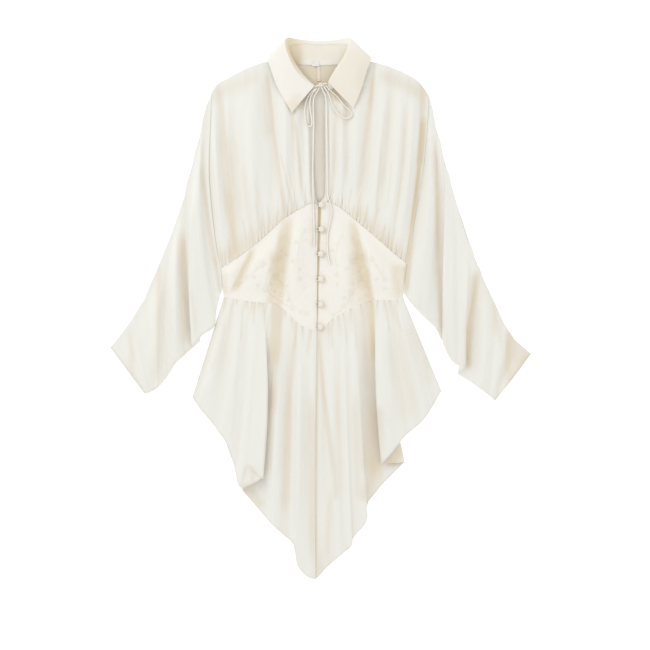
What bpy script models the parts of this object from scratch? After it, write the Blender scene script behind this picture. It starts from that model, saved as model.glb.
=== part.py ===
"""A batwing shirt laid flat on its back, front upwards, neck towards +Y.

Metres, +Z up. The origin is on the surface it lies on, under the middle of the shirt.
Right and left are the wearer's, so the right side is at -X.
The tables are in millimetres, as a pattern cutter would measure the laid-out shirt.
"""
import math
from collections import namedtuple

import bmesh
import bpy
import numpy as np
from mathutils import Vector

MM = 0.001

# Cloth and seams
CLOTH = 1.0 * MM
COLLAR_CLOTH = 1.6 * MM
STAND_CLOTH = 1.2 * MM
SEAM_GAP = 1.3 * MM
ARMHOLE_GAP = 1.2 * MM
REST_GAP = 0.3 * MM

# How finely a panel is divided
STEPS_PER_FOLD = 2
ROWS = 11
WAIST_ROWS = 7
COLLAR_ROWS = 6

# A fold takes this much of its length to rise from the seam to its full height
RISE_SHARE = 0.4

# Half of the height and of the width that the rounded edge of a turned-over fold takes
LIP_HEIGHT = 1.2
LIP_WIDTH = 1.0

# Rows over which a panel is drawn to the exact line of its seam
SEAM_ROWS = 4

# Covered buttons and their loops
BUTTON_RADIUS = 6.0 * MM
BUTTON_HEIGHT = 4.4 * MM
BUTTON_RIM = 1.2 * MM
SHANK_RADIUS = 2.0 * MM
SHANK_HEIGHT = 2.6 * MM
DOME_STEPS = 4
TURN_STEPS = 16
LOOP_RADIUS = 0.7 * MM
LOOP_LIFT = 0.4 * MM
LOOP_SPREAD = 3.2 * MM
LOOP_END_X = -8.6 * MM

# Rouleau ties, and how far apart the points along them are
TIE_RADIUS = 1.35 * MM
TIE_SPACING = 6.0 * MM
TAIL_SPACING = 12.0 * MM
KNOT_RADII = (1.0, 1.9, 3.0, 3.2, 2.2, 1.0)

# The blank label at the back neck and the size tab below it, flat plates
LABEL_SIZE = (14.0 * MM, 9.4 * MM, 0.6 * MM)
LABEL_PLACE = (-9.0 * MM, 470.8 * MM, 3.7 * MM)
LABEL_SLOPE = math.radians(7.5)
TAB_SIZE = (7.4 * MM, 29.0 * MM, 0.6 * MM)
TAB_PLACE = (-3.4 * MM, 451.5 * MM, 1.6 * MM)

# A value that the seam gives
SEAM = None

# Positions and heights of the seams that a front panel hangs from, in millimetres
SeamPoint = namedtuple("SeamPoint", "x y rise")

WAIST_SEAM_RIGHT = [
    SeamPoint(-192, 75, 2.2),
    SeamPoint(-176, 85, 4.4),
    SeamPoint(-151, 104, 5.0),
    SeamPoint(-120, 127, 5.5),
    SeamPoint(-95, 150, 5.0),
    SeamPoint(-68, 174, 5.5),
    SeamPoint(-55, 182, 4.4),
    SeamPoint(-37, 193, 6.0),
    SeamPoint(-24, 200, 6.5),
    SeamPoint(-3, 203, 6.5),
]
WAIST_SEAM_LEFT = [
    SeamPoint(-4, 203, 6.5),
    SeamPoint(16, 204, 6.5),
    SeamPoint(37, 194, 6.0),
    SeamPoint(52, 183, 5.5),
    SeamPoint(64, 173, 4.4),
    SeamPoint(84, 156, 6.0),
    SeamPoint(103, 140, 6.0),
    SeamPoint(135, 112, 5.5),
    SeamPoint(150, 99, 4.0),
    SeamPoint(167, 85, 2.2),
]
SKIRT_SEAM_RIGHT = [
    SeamPoint(-188, 22, 2.2),
    SeamPoint(-168, 20, 5.0),
    SeamPoint(-149, 16, 5.5),
    SeamPoint(-111, 12, 6.5),
    SeamPoint(-89, 10, 4.0),
    SeamPoint(-74, 2, 4.8),
    SeamPoint(-57, -13, 7.0),
    SeamPoint(-41, -29, 7.5),
    SeamPoint(-26, -37, 7.0),
    SeamPoint(-5, -43, 6.5),
]
SKIRT_SEAM_LEFT = [
    SeamPoint(-7, -43, 6.5),
    SeamPoint(4, -36, 6.5),
    SeamPoint(26, -17, 7.5),
    SeamPoint(48, -6, 7.5),
    SeamPoint(70, 7, 5.5),
    SeamPoint(87, 12, 4.0),
    SeamPoint(101, 16, 5.5),
    SeamPoint(122, 17, 7.0),
    SeamPoint(141, 17, 5.0),
    SeamPoint(160, 24, 2.2),
]
ARMHOLE_RIGHT = [
    SeamPoint(-209, 416, 2.4),
    SeamPoint(-211, 370, 2.6),
    SeamPoint(-213, 324, 3.0),
    SeamPoint(-214, 257, 3.2),
    SeamPoint(-210, 202, 3.2),
    SeamPoint(-202, 132, 3.0),
    SeamPoint(-194, 77, 2.4),
    SeamPoint(-190, 36, 2.0),
]
ARMHOLE_LEFT = [
    SeamPoint(209, 409, 2.4),
    SeamPoint(208, 380, 2.6),
    SeamPoint(205, 340, 2.8),
    SeamPoint(200, 284, 3.0),
    SeamPoint(190, 221, 3.0),
    SeamPoint(179, 150, 3.0),
    SeamPoint(169, 88, 2.4),
    SeamPoint(160, 31, 2.0),
]

# Each row is one fold line, from its top end to its hem end, with the sideways bow of its middle
# and its height above the surface at the top, the middle and the hem, in millimetres
Fold = namedtuple("Fold", "name top_x top_y hem_x hem_y bow rise_top rise_mid rise_hem")

BODICE_RIGHT = [
    Fold("roll beside the armhole", -205, 422, -181, SEAM, -6, 3, 13, SEAM),
    Fold("valley from the shoulder", -194, 435, -161, SEAM, -7, 3, 3.2, SEAM),
    Fold("low swell", -181, 441, -149, SEAM, -8, 4, 9, SEAM),
    Fold("shallow valley", -168, 448, -141, SEAM, -10, 5, 5.5, SEAM),
    Fold("broad swell", -135, 464, -120, SEAM, -4, 6, 17, SEAM),
    Fold("valley below the collar", -105, 474, -90, SEAM, 12, 4, 3.6, SEAM),
    Fold("swell", -76, 475, -72, SEAM, 8, 4, 12, SEAM),
    Fold("valley", -55, 457, -52, SEAM, 2, 4, 6, SEAM),
    Fold("swell", -49, 441, -41, SEAM, 0, 4, 11, SEAM),
    Fold("valley", -38, 428, -29, SEAM, 0, 4, 6, SEAM),
    Fold("swell", -26, 422, -16, SEAM, 0, 5, 10, SEAM),
    Fold("front edge", -13, 418, -5, SEAM, -3, 6, 6.5, SEAM),
]
BODICE_LEFT = [
    Fold("front edge", 9, 416, -1.5, SEAM, 1, 6, 6.5, SEAM),
    Fold("swell", 20, 422, 11, SEAM, 0, 5, 10, SEAM),
    Fold("valley", 32, 428, 26, SEAM, 0, 4, 6, SEAM),
    Fold("swell", 43, 441, 38, SEAM, 0, 4, 11, SEAM),
    Fold("valley", 50, 457, 49, SEAM, 0, 4, 6, SEAM),
    Fold("swell", 70, 475, 60, SEAM, 2, 4, 11, SEAM),
    Fold("valley below the collar", 98, 474, 70, SEAM, 8, 4, 3.6, SEAM),
    Fold("broad swell", 120, 469, 93, SEAM, 6, 6, 16, SEAM),
    Fold("shallow valley", 139, 462, 107, SEAM, 4, 6, 8, SEAM),
    Fold("swell", 156, 455, 126, SEAM, 6, 7, 15, SEAM),
    Fold("shallow valley", 168, 449, 136, SEAM, 6, 7, 11, SEAM),
    Fold("high roll", 179, 443, 148, SEAM, 6, 6, 20, SEAM),
    Fold("drop", 189, 435, 156, SEAM, 6, 4.5, 13, SEAM),
    Fold("deep valley", 199, 423, 163, SEAM, 5, 3, 3, SEAM),
]
WAIST_RIGHT = [
    Fold("side seam", -190, SEAM, -186, SEAM, 0, SEAM, 1.9, SEAM),
    Fold("roll", -166, SEAM, -176, SEAM, 0, SEAM, 11, SEAM),
    Fold("slanting crease", -131, SEAM, -165, SEAM, 0, SEAM, 3.4, SEAM),
    Fold("swell", -112, SEAM, -135, SEAM, 0, SEAM, 13, SEAM),
    Fold("swell", -87, SEAM, -112, SEAM, 0, SEAM, 14, SEAM),
    Fold("trough by the dart", -57, SEAM, -85, SEAM, 0, SEAM, 3.2, SEAM),
    Fold("roll beside the trough", -37, SEAM, -64, SEAM, 0, SEAM, 16, SEAM),
    Fold("flat", -24, SEAM, -37, SEAM, 0, SEAM, 11, SEAM),
    Fold("front edge", -5, SEAM, -7.4, SEAM, 0, SEAM, 7, SEAM),
]
WAIST_LEFT = [
    Fold("front edge", -2, SEAM, -5.6, SEAM, 0, SEAM, 7, SEAM),
    Fold("flat", 16, SEAM, 22, SEAM, 0, SEAM, 11, SEAM),
    Fold("roll beside the trough", 43, SEAM, 57, SEAM, 0, SEAM, 16, SEAM),
    Fold("trough by the dart", 64, SEAM, 90, SEAM, 0, SEAM, 3.2, SEAM),
    Fold("roll", 84, SEAM, 112, SEAM, 0, SEAM, 14, SEAM),
    Fold("flat", 126, SEAM, 135, SEAM, 0, SEAM, 11, SEAM),
    Fold("trough at the side", 148, SEAM, 149, SEAM, 0, SEAM, 5, SEAM),
    Fold("side seam", 165, SEAM, 158, SEAM, 0, SEAM, 1.9, SEAM),
]
SKIRT_RIGHT = [
    Fold("side seam", -186, SEAM, -246, -170, 1, SEAM, 2.4, 2),
    Fold("swell", -176, SEAM, -229, -194, 4, SEAM, 13, 7),
    Fold("shallow valley", -163, SEAM, -208, -219, 0, SEAM, 8, 5),
    Fold("swell", -149, SEAM, -183, -253, 0, SEAM, 16, 11),
    Fold("shallow valley", -134, SEAM, -165, -303, 0, SEAM, 12, 10),
    Fold("flap", -121, SEAM, -153, -342, 0, SEAM, 18, 16),
    Fold("flap edge", -109, SEAM, -112, -324, 6, SEAM, 15, 13),
    Fold("under edge", -95, SEAM, -150, -348, 0, SEAM, 7, 6.5),
    Fold("deep valley", -85, SEAM, -112, -392, 0, SEAM, 2.8, 2.8),
    Fold("swell", -70, SEAM, -91, -415, -2, SEAM, 14, 10),
    Fold("valley", -57, SEAM, -68, -436, 0, SEAM, 3.8, 3.2),
    Fold("drop", -47, SEAM, -52, -449, 0, SEAM, 11, 9),
    Fold("roll", -37, SEAM, -44, -492, 0, SEAM, 15, 10),
    Fold("valley", -22, SEAM, -26, -513, 0, SEAM, 6, 5),
    Fold("front edge", -6.8, SEAM, -9.8, -519, -2, SEAM, 8, 6),
]
SKIRT_LEFT = [
    Fold("front edge", -5.6, SEAM, -8.6, -519, -2, SEAM, 8, 6),
    Fold("valley", 3, SEAM, 11, -497, 0, SEAM, 5, 5),
    Fold("swell", 14, SEAM, 32, -478, 0, SEAM, 13, 8),
    Fold("shallow valley", 26, SEAM, 45, -467, 0, SEAM, 9, 6),
    Fold("roll", 39, SEAM, 59, -455, 0, SEAM, 17, 11),
    Fold("step", 50, SEAM, 62, -441, 0, SEAM, 13, 7),
    Fold("swell", 60, SEAM, 88, -407, 0, SEAM, 15, 12),
    Fold("drop", 72, SEAM, 90, -372, 0, SEAM, 10, 6),
    Fold("deep valley", 84, SEAM, 116, -340, -4, SEAM, 2.8, 2.8),
    Fold("under edge", 92, SEAM, 161, -294, 0, SEAM, 7, 6.5),
    Fold("flap edge", 107, SEAM, 117, -297, -6, SEAM, 15, 13),
    Fold("flap", 118, SEAM, 137, -275, 0, SEAM, 18, 14),
    Fold("shallow valley", 132, SEAM, 162, -244, 0, SEAM, 12, 10),
    Fold("swell", 145, SEAM, 197, -213, 0, SEAM, 15, 8),
    Fold("side seam", 158, SEAM, 232, -158, 0, SEAM, 2.4, 2),
]
SLEEVE_RIGHT = [
    Fold("valley", -218, 393, -200, -4, -14, 2, 3.2, 2.6),
    Fold("swell", -226, 363, -205, -34, -15, 2, 15, 8),
    Fold("flap", -232, 332, -228, -52, -10, 2, 17, 10),
    Fold("flap edge", -238, 308, -246, -74, -10, 2, 14, 11),
    Fold("under edge", -252, 254, -231, -62, -8, 2, 7, 6),
    Fold("deep valley", -262, 214, -259, -87, -6, 2, 2.8, 2.6),
    Fold("swell", -274, 179, -275, -101, -5, 2, 15, 10),
    Fold("shallow valley", -287, 142, -295, -131, -6, 2, 5.5, 4),
    Fold("swell", -312, 81, -312, -151, 0, 2, 13, 7),
    Fold("shallow valley", -339, 17, -324, -158, 0, 2, 6.5, 4),
    Fold("swell", -368, -29, -333, -162, 0, 2, 10, 6),
    Fold("cuff edge", -403, -74, -338, -162, 0, 2, 7, 2.4),
]
SLEEVE_LEFT = [
    Fold("roll beside the armhole", 215, 386, 176, 9, 9, 2, 14, 8),
    Fold("swell", 218, 369, 196, -12, 10, 2, 11, 6),
    Fold("deep valley", 221, 352, 221, -36, 4, 2, 2.8, 2.6),
    Fold("under edge", 227, 328, 247, -56, 3, 2, 6.2, 6),
    Fold("flap edge", 243, 266, 234, -62, -3, 2, 15.5, 11),
    Fold("roll", 252, 236, 249, -96, 0, 2, 17, 10),
    Fold("shallow valley", 261, 205, 262, -107, 0, 2, 12, 9),
    Fold("second flap edge", 288, 122, 279, -111, -4, 2, 14, 11),
    Fold("second under edge", 302, 84, 263, -125, 0, 2, 6.8, 6),
    Fold("deep valley", 312, 60, 291, -142, -4, 2, 2.8, 2.6),
    Fold("swell", 322, 38, 308, -155, 0, 2, 15, 9),
    Fold("shallow valley", 336, 9, 321, -164, 0, 2, 10, 6),
    Fold("swell", 352, -27, 328, -170, 0, 2, 14, 8),
    Fold("valley", 373, -59, 333, -174, 0, 2, 5, 4),
    Fold("cuff edge", 404, -86, 335, -176, 1, 2, 8, 2.4),
]

# Fold lines that lie inside the outline, tucked under or over their neighbours
TUCKED = ("under edge", "second under edge")
TUCKED_AT_SKIRT_HEM = ("flap edge",)

# Fold lines where the cloth turns over, and needs a rounded edge
TURNED = TUCKED + ("flap edge", "second flap edge")

# The collar's fall, from its fold line to its outer edge, in millimetres
FallLine = namedtuple("FallLine", "fold_x fold_y fold_z swell edge_x edge_y edge_z")

COLLAR_FALL = [
    FallLine(-13, 426, 14, 2.0, -55, 376, 13),
    FallLine(-32, 440, 17, 2.5, -71, 404, 12.5),
    FallLine(-49, 460, 19, 2.5, -85, 431, 12),
    FallLine(-61, 484, 18, 2.5, -95, 460, 11),
    FallLine(-68, 510, 13.0, 2.0, -102, 480, 8.5),
    FallLine(-64, 519, 7.5, 0.0, -96, 483, 2.6),
    FallLine(-47, 517, 5.4, -1.6, -70, 479, 0.8),
    FallLine(-24, 514, 5.2, -1.6, -30, 476, 0.8),
    FallLine(-2, 513, 5.2, -1.6, -2, 475, 0.8),
    FallLine(20, 514, 5.2, -1.6, 26, 476, 0.8),
    FallLine(42, 517, 5.4, -1.6, 65, 479, 0.8),
    FallLine(58, 519, 7.5, 0.0, 90, 483, 2.6),
    FallLine(61, 510, 13.0, 2.0, 97, 480, 8.5),
    FallLine(50, 482, 18, 2.5, 88, 454, 11),
    FallLine(37, 461, 19, 2.5, 80, 427, 12),
    FallLine(27, 446, 17, 2.5, 72, 405, 12.5),
    FallLine(16, 433, 14, 2.0, 63, 384, 13),
]

# The collar's stand, from the neck seam up to just inside the fold line, in millimetres
StandLine = namedtuple("StandLine", "seam_x seam_y seam_z top_x top_y top_z")

COLLAR_STAND = [
    StandLine(-17, 419, 7.2, -12, 427, 9.8),
    StandLine(-34, 426, 6.3, -28, 442, 12.0),
    StandLine(-48, 441, 5.7, -43, 461, 13.6),
    StandLine(-56, 458, 5.6, -55, 482, 13.2),
    StandLine(-54, 467, 3.6, -60, 501, 10.6),
    StandLine(-40, 469, 2.2, -50, 508, 8.0),
    StandLine(-18, 468.5, 2.0, -20, 508, 7.4),
    StandLine(-2, 468, 2.0, -2, 507, 7.2),
    StandLine(14, 468.5, 2.0, 16, 508, 7.4),
    StandLine(35, 469, 2.2, 45, 508, 8.0),
    StandLine(49, 467, 3.6, 53, 501, 10.6),
    StandLine(51, 458, 5.6, 44, 481, 13.2),
    StandLine(44, 441, 5.7, 31, 461, 13.6),
    StandLine(31, 427.5, 6.3, 22, 447, 12.0),
    StandLine(14, 418.5, 7.1, 14, 433, 9.8),
]

# The back's neckline, from the right shoulder to the left, in millimetres
BACK_NECK = [(-103, 471), (-70, 470), (-36, 470.5), (-2, 470), (32, 470.5), (66, 470), (97, 471)]

# Covered buttons down the left front's edge, with the height of the cloth under the shank
Button = namedtuple("Button", "x y rest_z")

BUTTONS = [
    Button(2.0, 200.0, 7.3),
    Button(2.4, 153.0, 8.1),
    Button(1.2, 105.5, 8.5),
    Button(1.6, 57.5, 8.5),
    Button(1.2, 9.0, 7.8),
    Button(0.4, -34.5, 7.3),
]

# The neck ties, tied in a bow: each strand's route from the knot, in millimetres
KNOT_ROUTE = [
    (-10.8, 425.0, 10.4), (-7.0, 427.2, 11.2), (-3.0, 429.0, 12.0),
    (1.0, 430.0, 12.0), (6.0, 431.2, 11.2), (12.6, 432.4, 10.4),
]
TIE_LOOP_RIGHT = [
    (-9.8, 422.4, 11.4), (-17.0, 416.5, 9.6), (-23.0, 408.5, 8.6), (-27.2, 399.0, 8.7),
    (-29.6, 388.0, 9.2), (-30.0, 377.0, 9.9), (-29.2, 366.0, 10.9), (-27.8, 356.0, 11.9),
    (-26.1, 351.3, 12.1), (-22.1, 349.6, 12.0), (-18.1, 351.3, 11.7), (-16.4, 356.0, 11.4),
    (-17.2, 366.0, 10.8), (-19.0, 377.0, 10.1), (-20.4, 388.0, 9.4), (-20.2, 400.0, 8.9),
    (-17.6, 409.5, 8.8), (-13.0, 416.5, 10.0), (-7.4, 422.8, 11.4),
]
TIE_TAIL_RIGHT = [
    (-2.4, 424.4, 10.8), (-6.6, 416.0, 9.6), (-11.3, 408.5, 8.7), (-13.6, 397.0, 8.8),
    (-13.8, 382.0, 9.3), (-13.0, 362.0, 10.0), (-13.4, 330.0, 10.6), (-14.0, 300.0, 11.1),
    (-14.7, 270.0, 11.3), (-14.5, 240.0, 10.5), (-14.0, 212.0, 9.5), (-13.2, 188.0, 9.5),
    (-12.4, 166.0, 9.8), (-12.0, 146.0, 10.2), (-12.4, 121.0, 10.8),
]
TIE_LOOP_LEFT = [
    (9.8, 428.6, 11.4), (16.5, 421.5, 9.8), (24.0, 415.0, 8.2), (30.8, 408.8, 8.0),
    (37.0, 401.5, 8.8), (43.0, 393.6, 9.4), (50.0, 386.0, 9.6), (57.0, 379.4, 10.8),
    (60.6, 373.4, 11.8), (57.0, 368.0, 11.6), (48.0, 366.0, 11.4), (39.5, 369.6, 12.0),
    (31.0, 377.0, 11.2), (24.8, 386.0, 9.8), (20.8, 396.0, 8.6), (18.6, 404.0, 8.6),
    (15.6, 411.5, 8.6), (11.4, 419.0, 10.2), (6.2, 427.0, 11.2),
]
TIE_TAIL_LEFT = [
    (1.6, 425.2, 10.8), (5.0, 418.0, 9.6), (8.5, 411.0, 8.8), (10.6, 401.0, 8.8),
    (11.3, 385.0, 9.6), (11.5, 365.0, 10.4), (11.7, 343.0, 11.4), (12.1, 305.0, 12.1),
    (12.5, 267.0, 11.9), (12.9, 234.0, 10.4), (14.6, 214.0, 9.6), (20.0, 197.0, 9.9),
    (20.4, 180.0, 10.7), (17.0, 161.0, 11.4), (13.6, 141.0, 12.3), (13.0, 119.0, 12.8),
    (14.8, 101.0, 13.2), (17.9, 86.4, 13.7),
]

WHITE = (0.86, 0.85, 0.80, 1.0)
CREAM = (0.84, 0.80, 0.72, 1.0)


def hermite(xs, ys, x):
    """A smooth curve through (xs, ys), read at x, with xs rising."""
    xs = np.asarray(xs, float)
    ys = np.asarray(ys, float)
    slopes = np.gradient(ys, xs)
    i = np.clip(np.searchsorted(xs, x) - 1, 0, len(xs) - 2)
    span = xs[i + 1] - xs[i]
    t = (x - xs[i]) / span
    value = (1 + 2 * t) * (1 - t) ** 2 * ys[i] + t * t * (3 - 2 * t) * ys[i + 1]
    value += span * (t * (1 - t) ** 2 * slopes[i] - t * t * (1 - t) * slopes[i + 1])
    return value


def seam_at(seam, along, value):
    """The seam's (x, y, rise) where its coordinate "x" or "y" has the value, in millimetres."""
    points = sorted(seam, key=lambda point: getattr(point, along))
    xs = [getattr(point, along) for point in points]
    return np.array([hermite(xs, [point[k] for point in points], value) for k in range(3)])


def seam_line(seam, y_top, y_hem, rows, shift):
    """Points down an armhole seam, shifted sideways by its half of the gap."""
    line = np.array([seam_at(seam, "y", y) for y in np.linspace(y_top, y_hem, rows)]) * MM
    line[:, 0] += shift
    return line


def fold_line(fold, rows, top_seam=None, hem_seam=None):
    """Points down one fold line; an end on a seam takes its place and height from it."""
    top = np.array([fold.top_x, fold.top_y or 0, fold.rise_top or 0], float)
    hem = np.array([fold.hem_x, fold.hem_y or 0, fold.rise_hem or 0], float)
    if top_seam:
        top = seam_at(top_seam, "x", fold.top_x)
        top[1] -= SEAM_GAP / 2 / MM
    if hem_seam:
        hem = seam_at(hem_seam, "x", fold.hem_x)
        hem[1] += SEAM_GAP / 2 / MM
    line = []
    for v in np.linspace(0, 1, rows):
        point = top + (hem - top) * v
        point[0] += fold.bow * math.sin(math.pi * v)
        near_top = 0.5 + 0.5 * math.cos(math.pi * min(v / RISE_SHARE, 1))
        near_hem = 0.5 + 0.5 * math.cos(math.pi * min((1 - v) / RISE_SHARE, 1))
        point[2] = fold.rise_mid + (top[2] - fold.rise_mid) * near_top
        point[2] += (hem[2] - fold.rise_mid) * near_hem
        line.append(point * MM)
    return np.array(line)


def turned_edge(line, before, after):
    """The upper and the lower line of a rounded edge, in the order that the cloth runs."""
    grown = np.minimum(np.linspace(0, 1, len(line)) / RISE_SHARE, 1)[:, None]
    down = line[1] - line[0]
    aside = np.array([-down[1], down[0], 0]) / np.hypot(down[0], down[1]) * LIP_WIDTH * MM
    aside *= np.sign(aside @ (after[0] - before[0]))
    upwards = np.array([0, 0, LIP_HEIGHT * MM]) * np.sign(before[-1, 2] - after[-1, 2])
    half = upwards * grown - aside * (1 - grown)
    return [line + half, line - half]


def fold_lines(folds, rows, top_seam=None, hem_seam=None):
    """The points of all fold lines of a panel, with a pair of lines where the cloth turns over."""
    lines = [fold_line(fold, rows, top_seam, hem_seam) for fold in folds]
    made = []
    for i, fold in enumerate(folds):
        if fold.name in TURNED:
            made += turned_edge(lines[i], lines[i - 1], lines[i + 1])
        else:
            made.append(lines[i])
    return made


def spacing(start, end):
    """The square root of the distance between two lines at each row, for an even curve."""
    return np.sqrt(np.linalg.norm(end - start, axis=1) + 0.01 * MM)[:, None]


def slope(before, here, after, span):
    """The direction of the curve at a line, scaled to the span it is used on."""
    d0 = spacing(before, here)
    d1 = spacing(here, after)
    return span * ((here - before) / d0 - (after - before) / (d0 + d1) + (after - here) / d1)


def loft(lines, steps):
    """A smooth surface across neighbouring lines, level at its two sides: across, down, xyz."""
    lines = np.array(lines)
    first = 2 * lines[0] - lines[1]
    last = 2 * lines[-1] - lines[-2]
    first[:, 2] = lines[1, :, 2]
    last[:, 2] = lines[-2, :, 2]
    padded = np.concatenate([[first], lines, [last]])
    surface = []
    for i in range(1, len(lines)):
        before, start, end, after = padded[i - 1:i + 3]
        span = spacing(start, end)
        leaving = slope(before, start, end, span)
        arriving = slope(start, end, after, span)
        for step in range(steps):
            t = step / steps
            point = (1 + 2 * t) * (1 - t) ** 2 * start + t * t * (3 - 2 * t) * end
            point += t * (1 - t) ** 2 * leaving - t * t * (1 - t) * arriving
            surface.append(point)
    surface.append(lines[-1])
    return np.array(surface)


def drawn_to_seam(surface, seam, gap, from_top):
    """Draws a panel's rows near a waist seam to the seam's exact line, with half the gap."""
    rows = surface.shape[1]
    for column in surface:
        target = seam_at(seam, "x", column[0 if from_top else -1, 0] / MM) * MM
        target[1] += -gap / 2 if from_top else gap / 2
        change = target - column[0 if from_top else -1]
        for j in range(SEAM_ROWS):
            column[j if from_top else rows - 1 - j] += change * (1 - j / SEAM_ROWS)
    return surface


def bodice_surface(folds, armhole, waist_seam, side):
    """A bodice front, with the armhole seam as its outer line; side is -1 for the right."""
    lines = fold_lines(folds, ROWS, hem_seam=waist_seam)
    edge = waist_seam[0] if side < 0 else waist_seam[-1]
    outer = seam_line(armhole, armhole[0].y - 2, edge.y + 1.5, ROWS, -side * ARMHOLE_GAP / 2)
    lines = [outer] + lines if side < 0 else lines + [outer]
    return drawn_to_seam(loft(lines, STEPS_PER_FOLD), waist_seam, SEAM_GAP, from_top=False)


def sleeve_surface(folds, armhole, side):
    """A sleeve front, from the armhole seam out to the cuff; side is -1 for the right."""
    outer = seam_line(armhole, armhole[0].y - 3, armhole[-1].y, ROWS, side * ARMHOLE_GAP / 2)
    return loft([outer] + fold_lines(folds, ROWS), STEPS_PER_FOLD)


def waist_surface(folds, top_seam, hem_seam):
    surface = loft(fold_lines(folds, WAIST_ROWS, top_seam, hem_seam), STEPS_PER_FOLD)
    surface = drawn_to_seam(surface, top_seam, SEAM_GAP, from_top=True)
    return drawn_to_seam(surface, hem_seam, SEAM_GAP, from_top=False)


def skirt_surface(folds, top_seam):
    surface = loft(fold_lines(folds, ROWS, top_seam), STEPS_PER_FOLD)
    return drawn_to_seam(surface, top_seam, SEAM_GAP, from_top=True)


def fall_surface():
    """The collar's turned-down fall, curved over from the fold line to its outer edge."""
    lines = []
    for row in COLLAR_FALL:
        fold = np.array([row.fold_x, row.fold_y, row.fold_z])
        edge = np.array([row.edge_x, row.edge_y, row.edge_z])
        line = []
        for v in np.linspace(0, 1, COLLAR_ROWS):
            point = fold + (edge - fold) * v
            point[2] += row.swell * math.sin(math.pi * v)
            line.append(point * MM)
        lines.append(line)
    surface = loft(lines, 2)
    surface[:, :, 2] = np.maximum(surface[:, :, 2], COLLAR_CLOTH / 2)
    return surface


def stand_surface():
    """The collar's stand, from its top edge down to the neck seam."""
    lines = []
    for row in COLLAR_STAND:
        top = np.array([row.top_x, row.top_y, row.top_z])
        seam = np.array([row.seam_x, row.seam_y, row.seam_z])
        lines.append([(top + (seam - top) * v) * MM for v in np.linspace(0, 1, 4)])
    return loft(lines, 2)


def material(name, colour, roughness):
    made = bpy.data.materials.new(name)
    made.use_nodes = True
    shader = made.node_tree.nodes["Principled BSDF"]
    shader.inputs["Base Color"].default_value = colour
    shader.inputs["Roughness"].default_value = roughness
    shader.inputs["Metallic"].default_value = 0.0
    made.diffuse_color = colour
    return made


def add_object(name, data, colour, roughness=0.7):
    """Puts mesh or curve data into the shirt's collection, with a material of its own."""
    made = bpy.data.objects.new(name, data)
    data.materials.append(material(name, colour, roughness))
    SHIRT.objects.link(made)
    return made


def cloth_panel(name, surface, colour, thickness=CLOTH):
    """A wall of even thickness on a surface of points."""
    across, down = surface.shape[:2]
    bm = bmesh.new()
    bmesh.ops.create_grid(bm, x_segments=down - 1, y_segments=across - 1, size=1.0)
    bm.verts.ensure_lookup_table()
    for vert, point in zip(bm.verts, surface.reshape(-1, 3)):
        vert.co = Vector(point)
    data = bpy.data.meshes.new(name)
    bm.to_mesh(data)
    bm.free()
    data.shade_smooth()
    made = add_object(name, data, colour)
    solidify = made.modifiers.new("wall", "SOLIDIFY")
    solidify.thickness = thickness
    solidify.offset = 0.0
    return made


def inset(outline, distance):
    """Moves a closed outline's points inwards."""
    points = np.array(outline, float)
    before = np.roll(points, 1, axis=0)
    after = np.roll(points, -1, axis=0)
    along = (after - before) / np.linalg.norm(after - before, axis=1)[:, None]
    area = np.sum(points[:, 0] * after[:, 1] - after[:, 0] * points[:, 1])
    inward = np.stack([-along[:, 1], along[:, 0]], axis=1) * np.sign(area)
    return points + inward * distance


def flat_panel(name, outline, colour, thickness=CLOTH):
    """A flat back panel that lies on the surface under the shirt."""
    data = bpy.data.curves.new(name, "CURVE")
    data.dimensions = "2D"
    data.fill_mode = "BOTH"
    data.extrude = thickness / 2
    spline = data.splines.new("POLY")
    spline.points.add(len(outline) - 1)
    for point, (x, y) in zip(spline.points, outline):
        point.co = (x, y, 0.0, 1.0)
    spline.use_cyclic_u = True
    made = add_object(name, data, colour)
    made.location.z = thickness / 2
    return made


def smooth_route(route, apart):
    """Even points along a smooth curve through a route's own points, in metres."""
    route = np.array(route, float) * MM
    steps = np.linalg.norm(np.diff(route, axis=0), axis=1)
    lengths = np.concatenate([[0], np.cumsum(steps)])
    count = max(int(round(lengths[-1] / apart)), 2)
    at = np.linspace(0, lengths[-1], count + 1)
    return [[hermite(lengths, route[:, k], s) for k in range(3)] for s in at]


def tube(name, points, radius, colour, radii=None):
    """A round cord along the points, with closed ends."""
    data = bpy.data.curves.new(name, "CURVE")
    data.dimensions = "3D"
    data.bevel_depth = radius
    data.bevel_resolution = 2
    data.use_fill_caps = True
    spline = data.splines.new("POLY")
    spline.points.add(len(points) - 1)
    for i, point in enumerate(points):
        spline.points[i].co = (*point, 1.0)
        spline.points[i].radius = radii[i] if radii else 1.0
    return add_object(name, data, colour)


def seam_points(seam, along, start, end, count):
    return [seam_at(seam, along, value)[:2] * MM for value in np.linspace(start, end, count)]


def edge_points(folds, end, hidden):
    """Where the fold lines reach the outline, at their top or their hem end."""
    return [np.array([getattr(fold, end + "_x"), getattr(fold, end + "_y")]) * MM
            for fold in folds if fold.name not in hidden]


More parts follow.
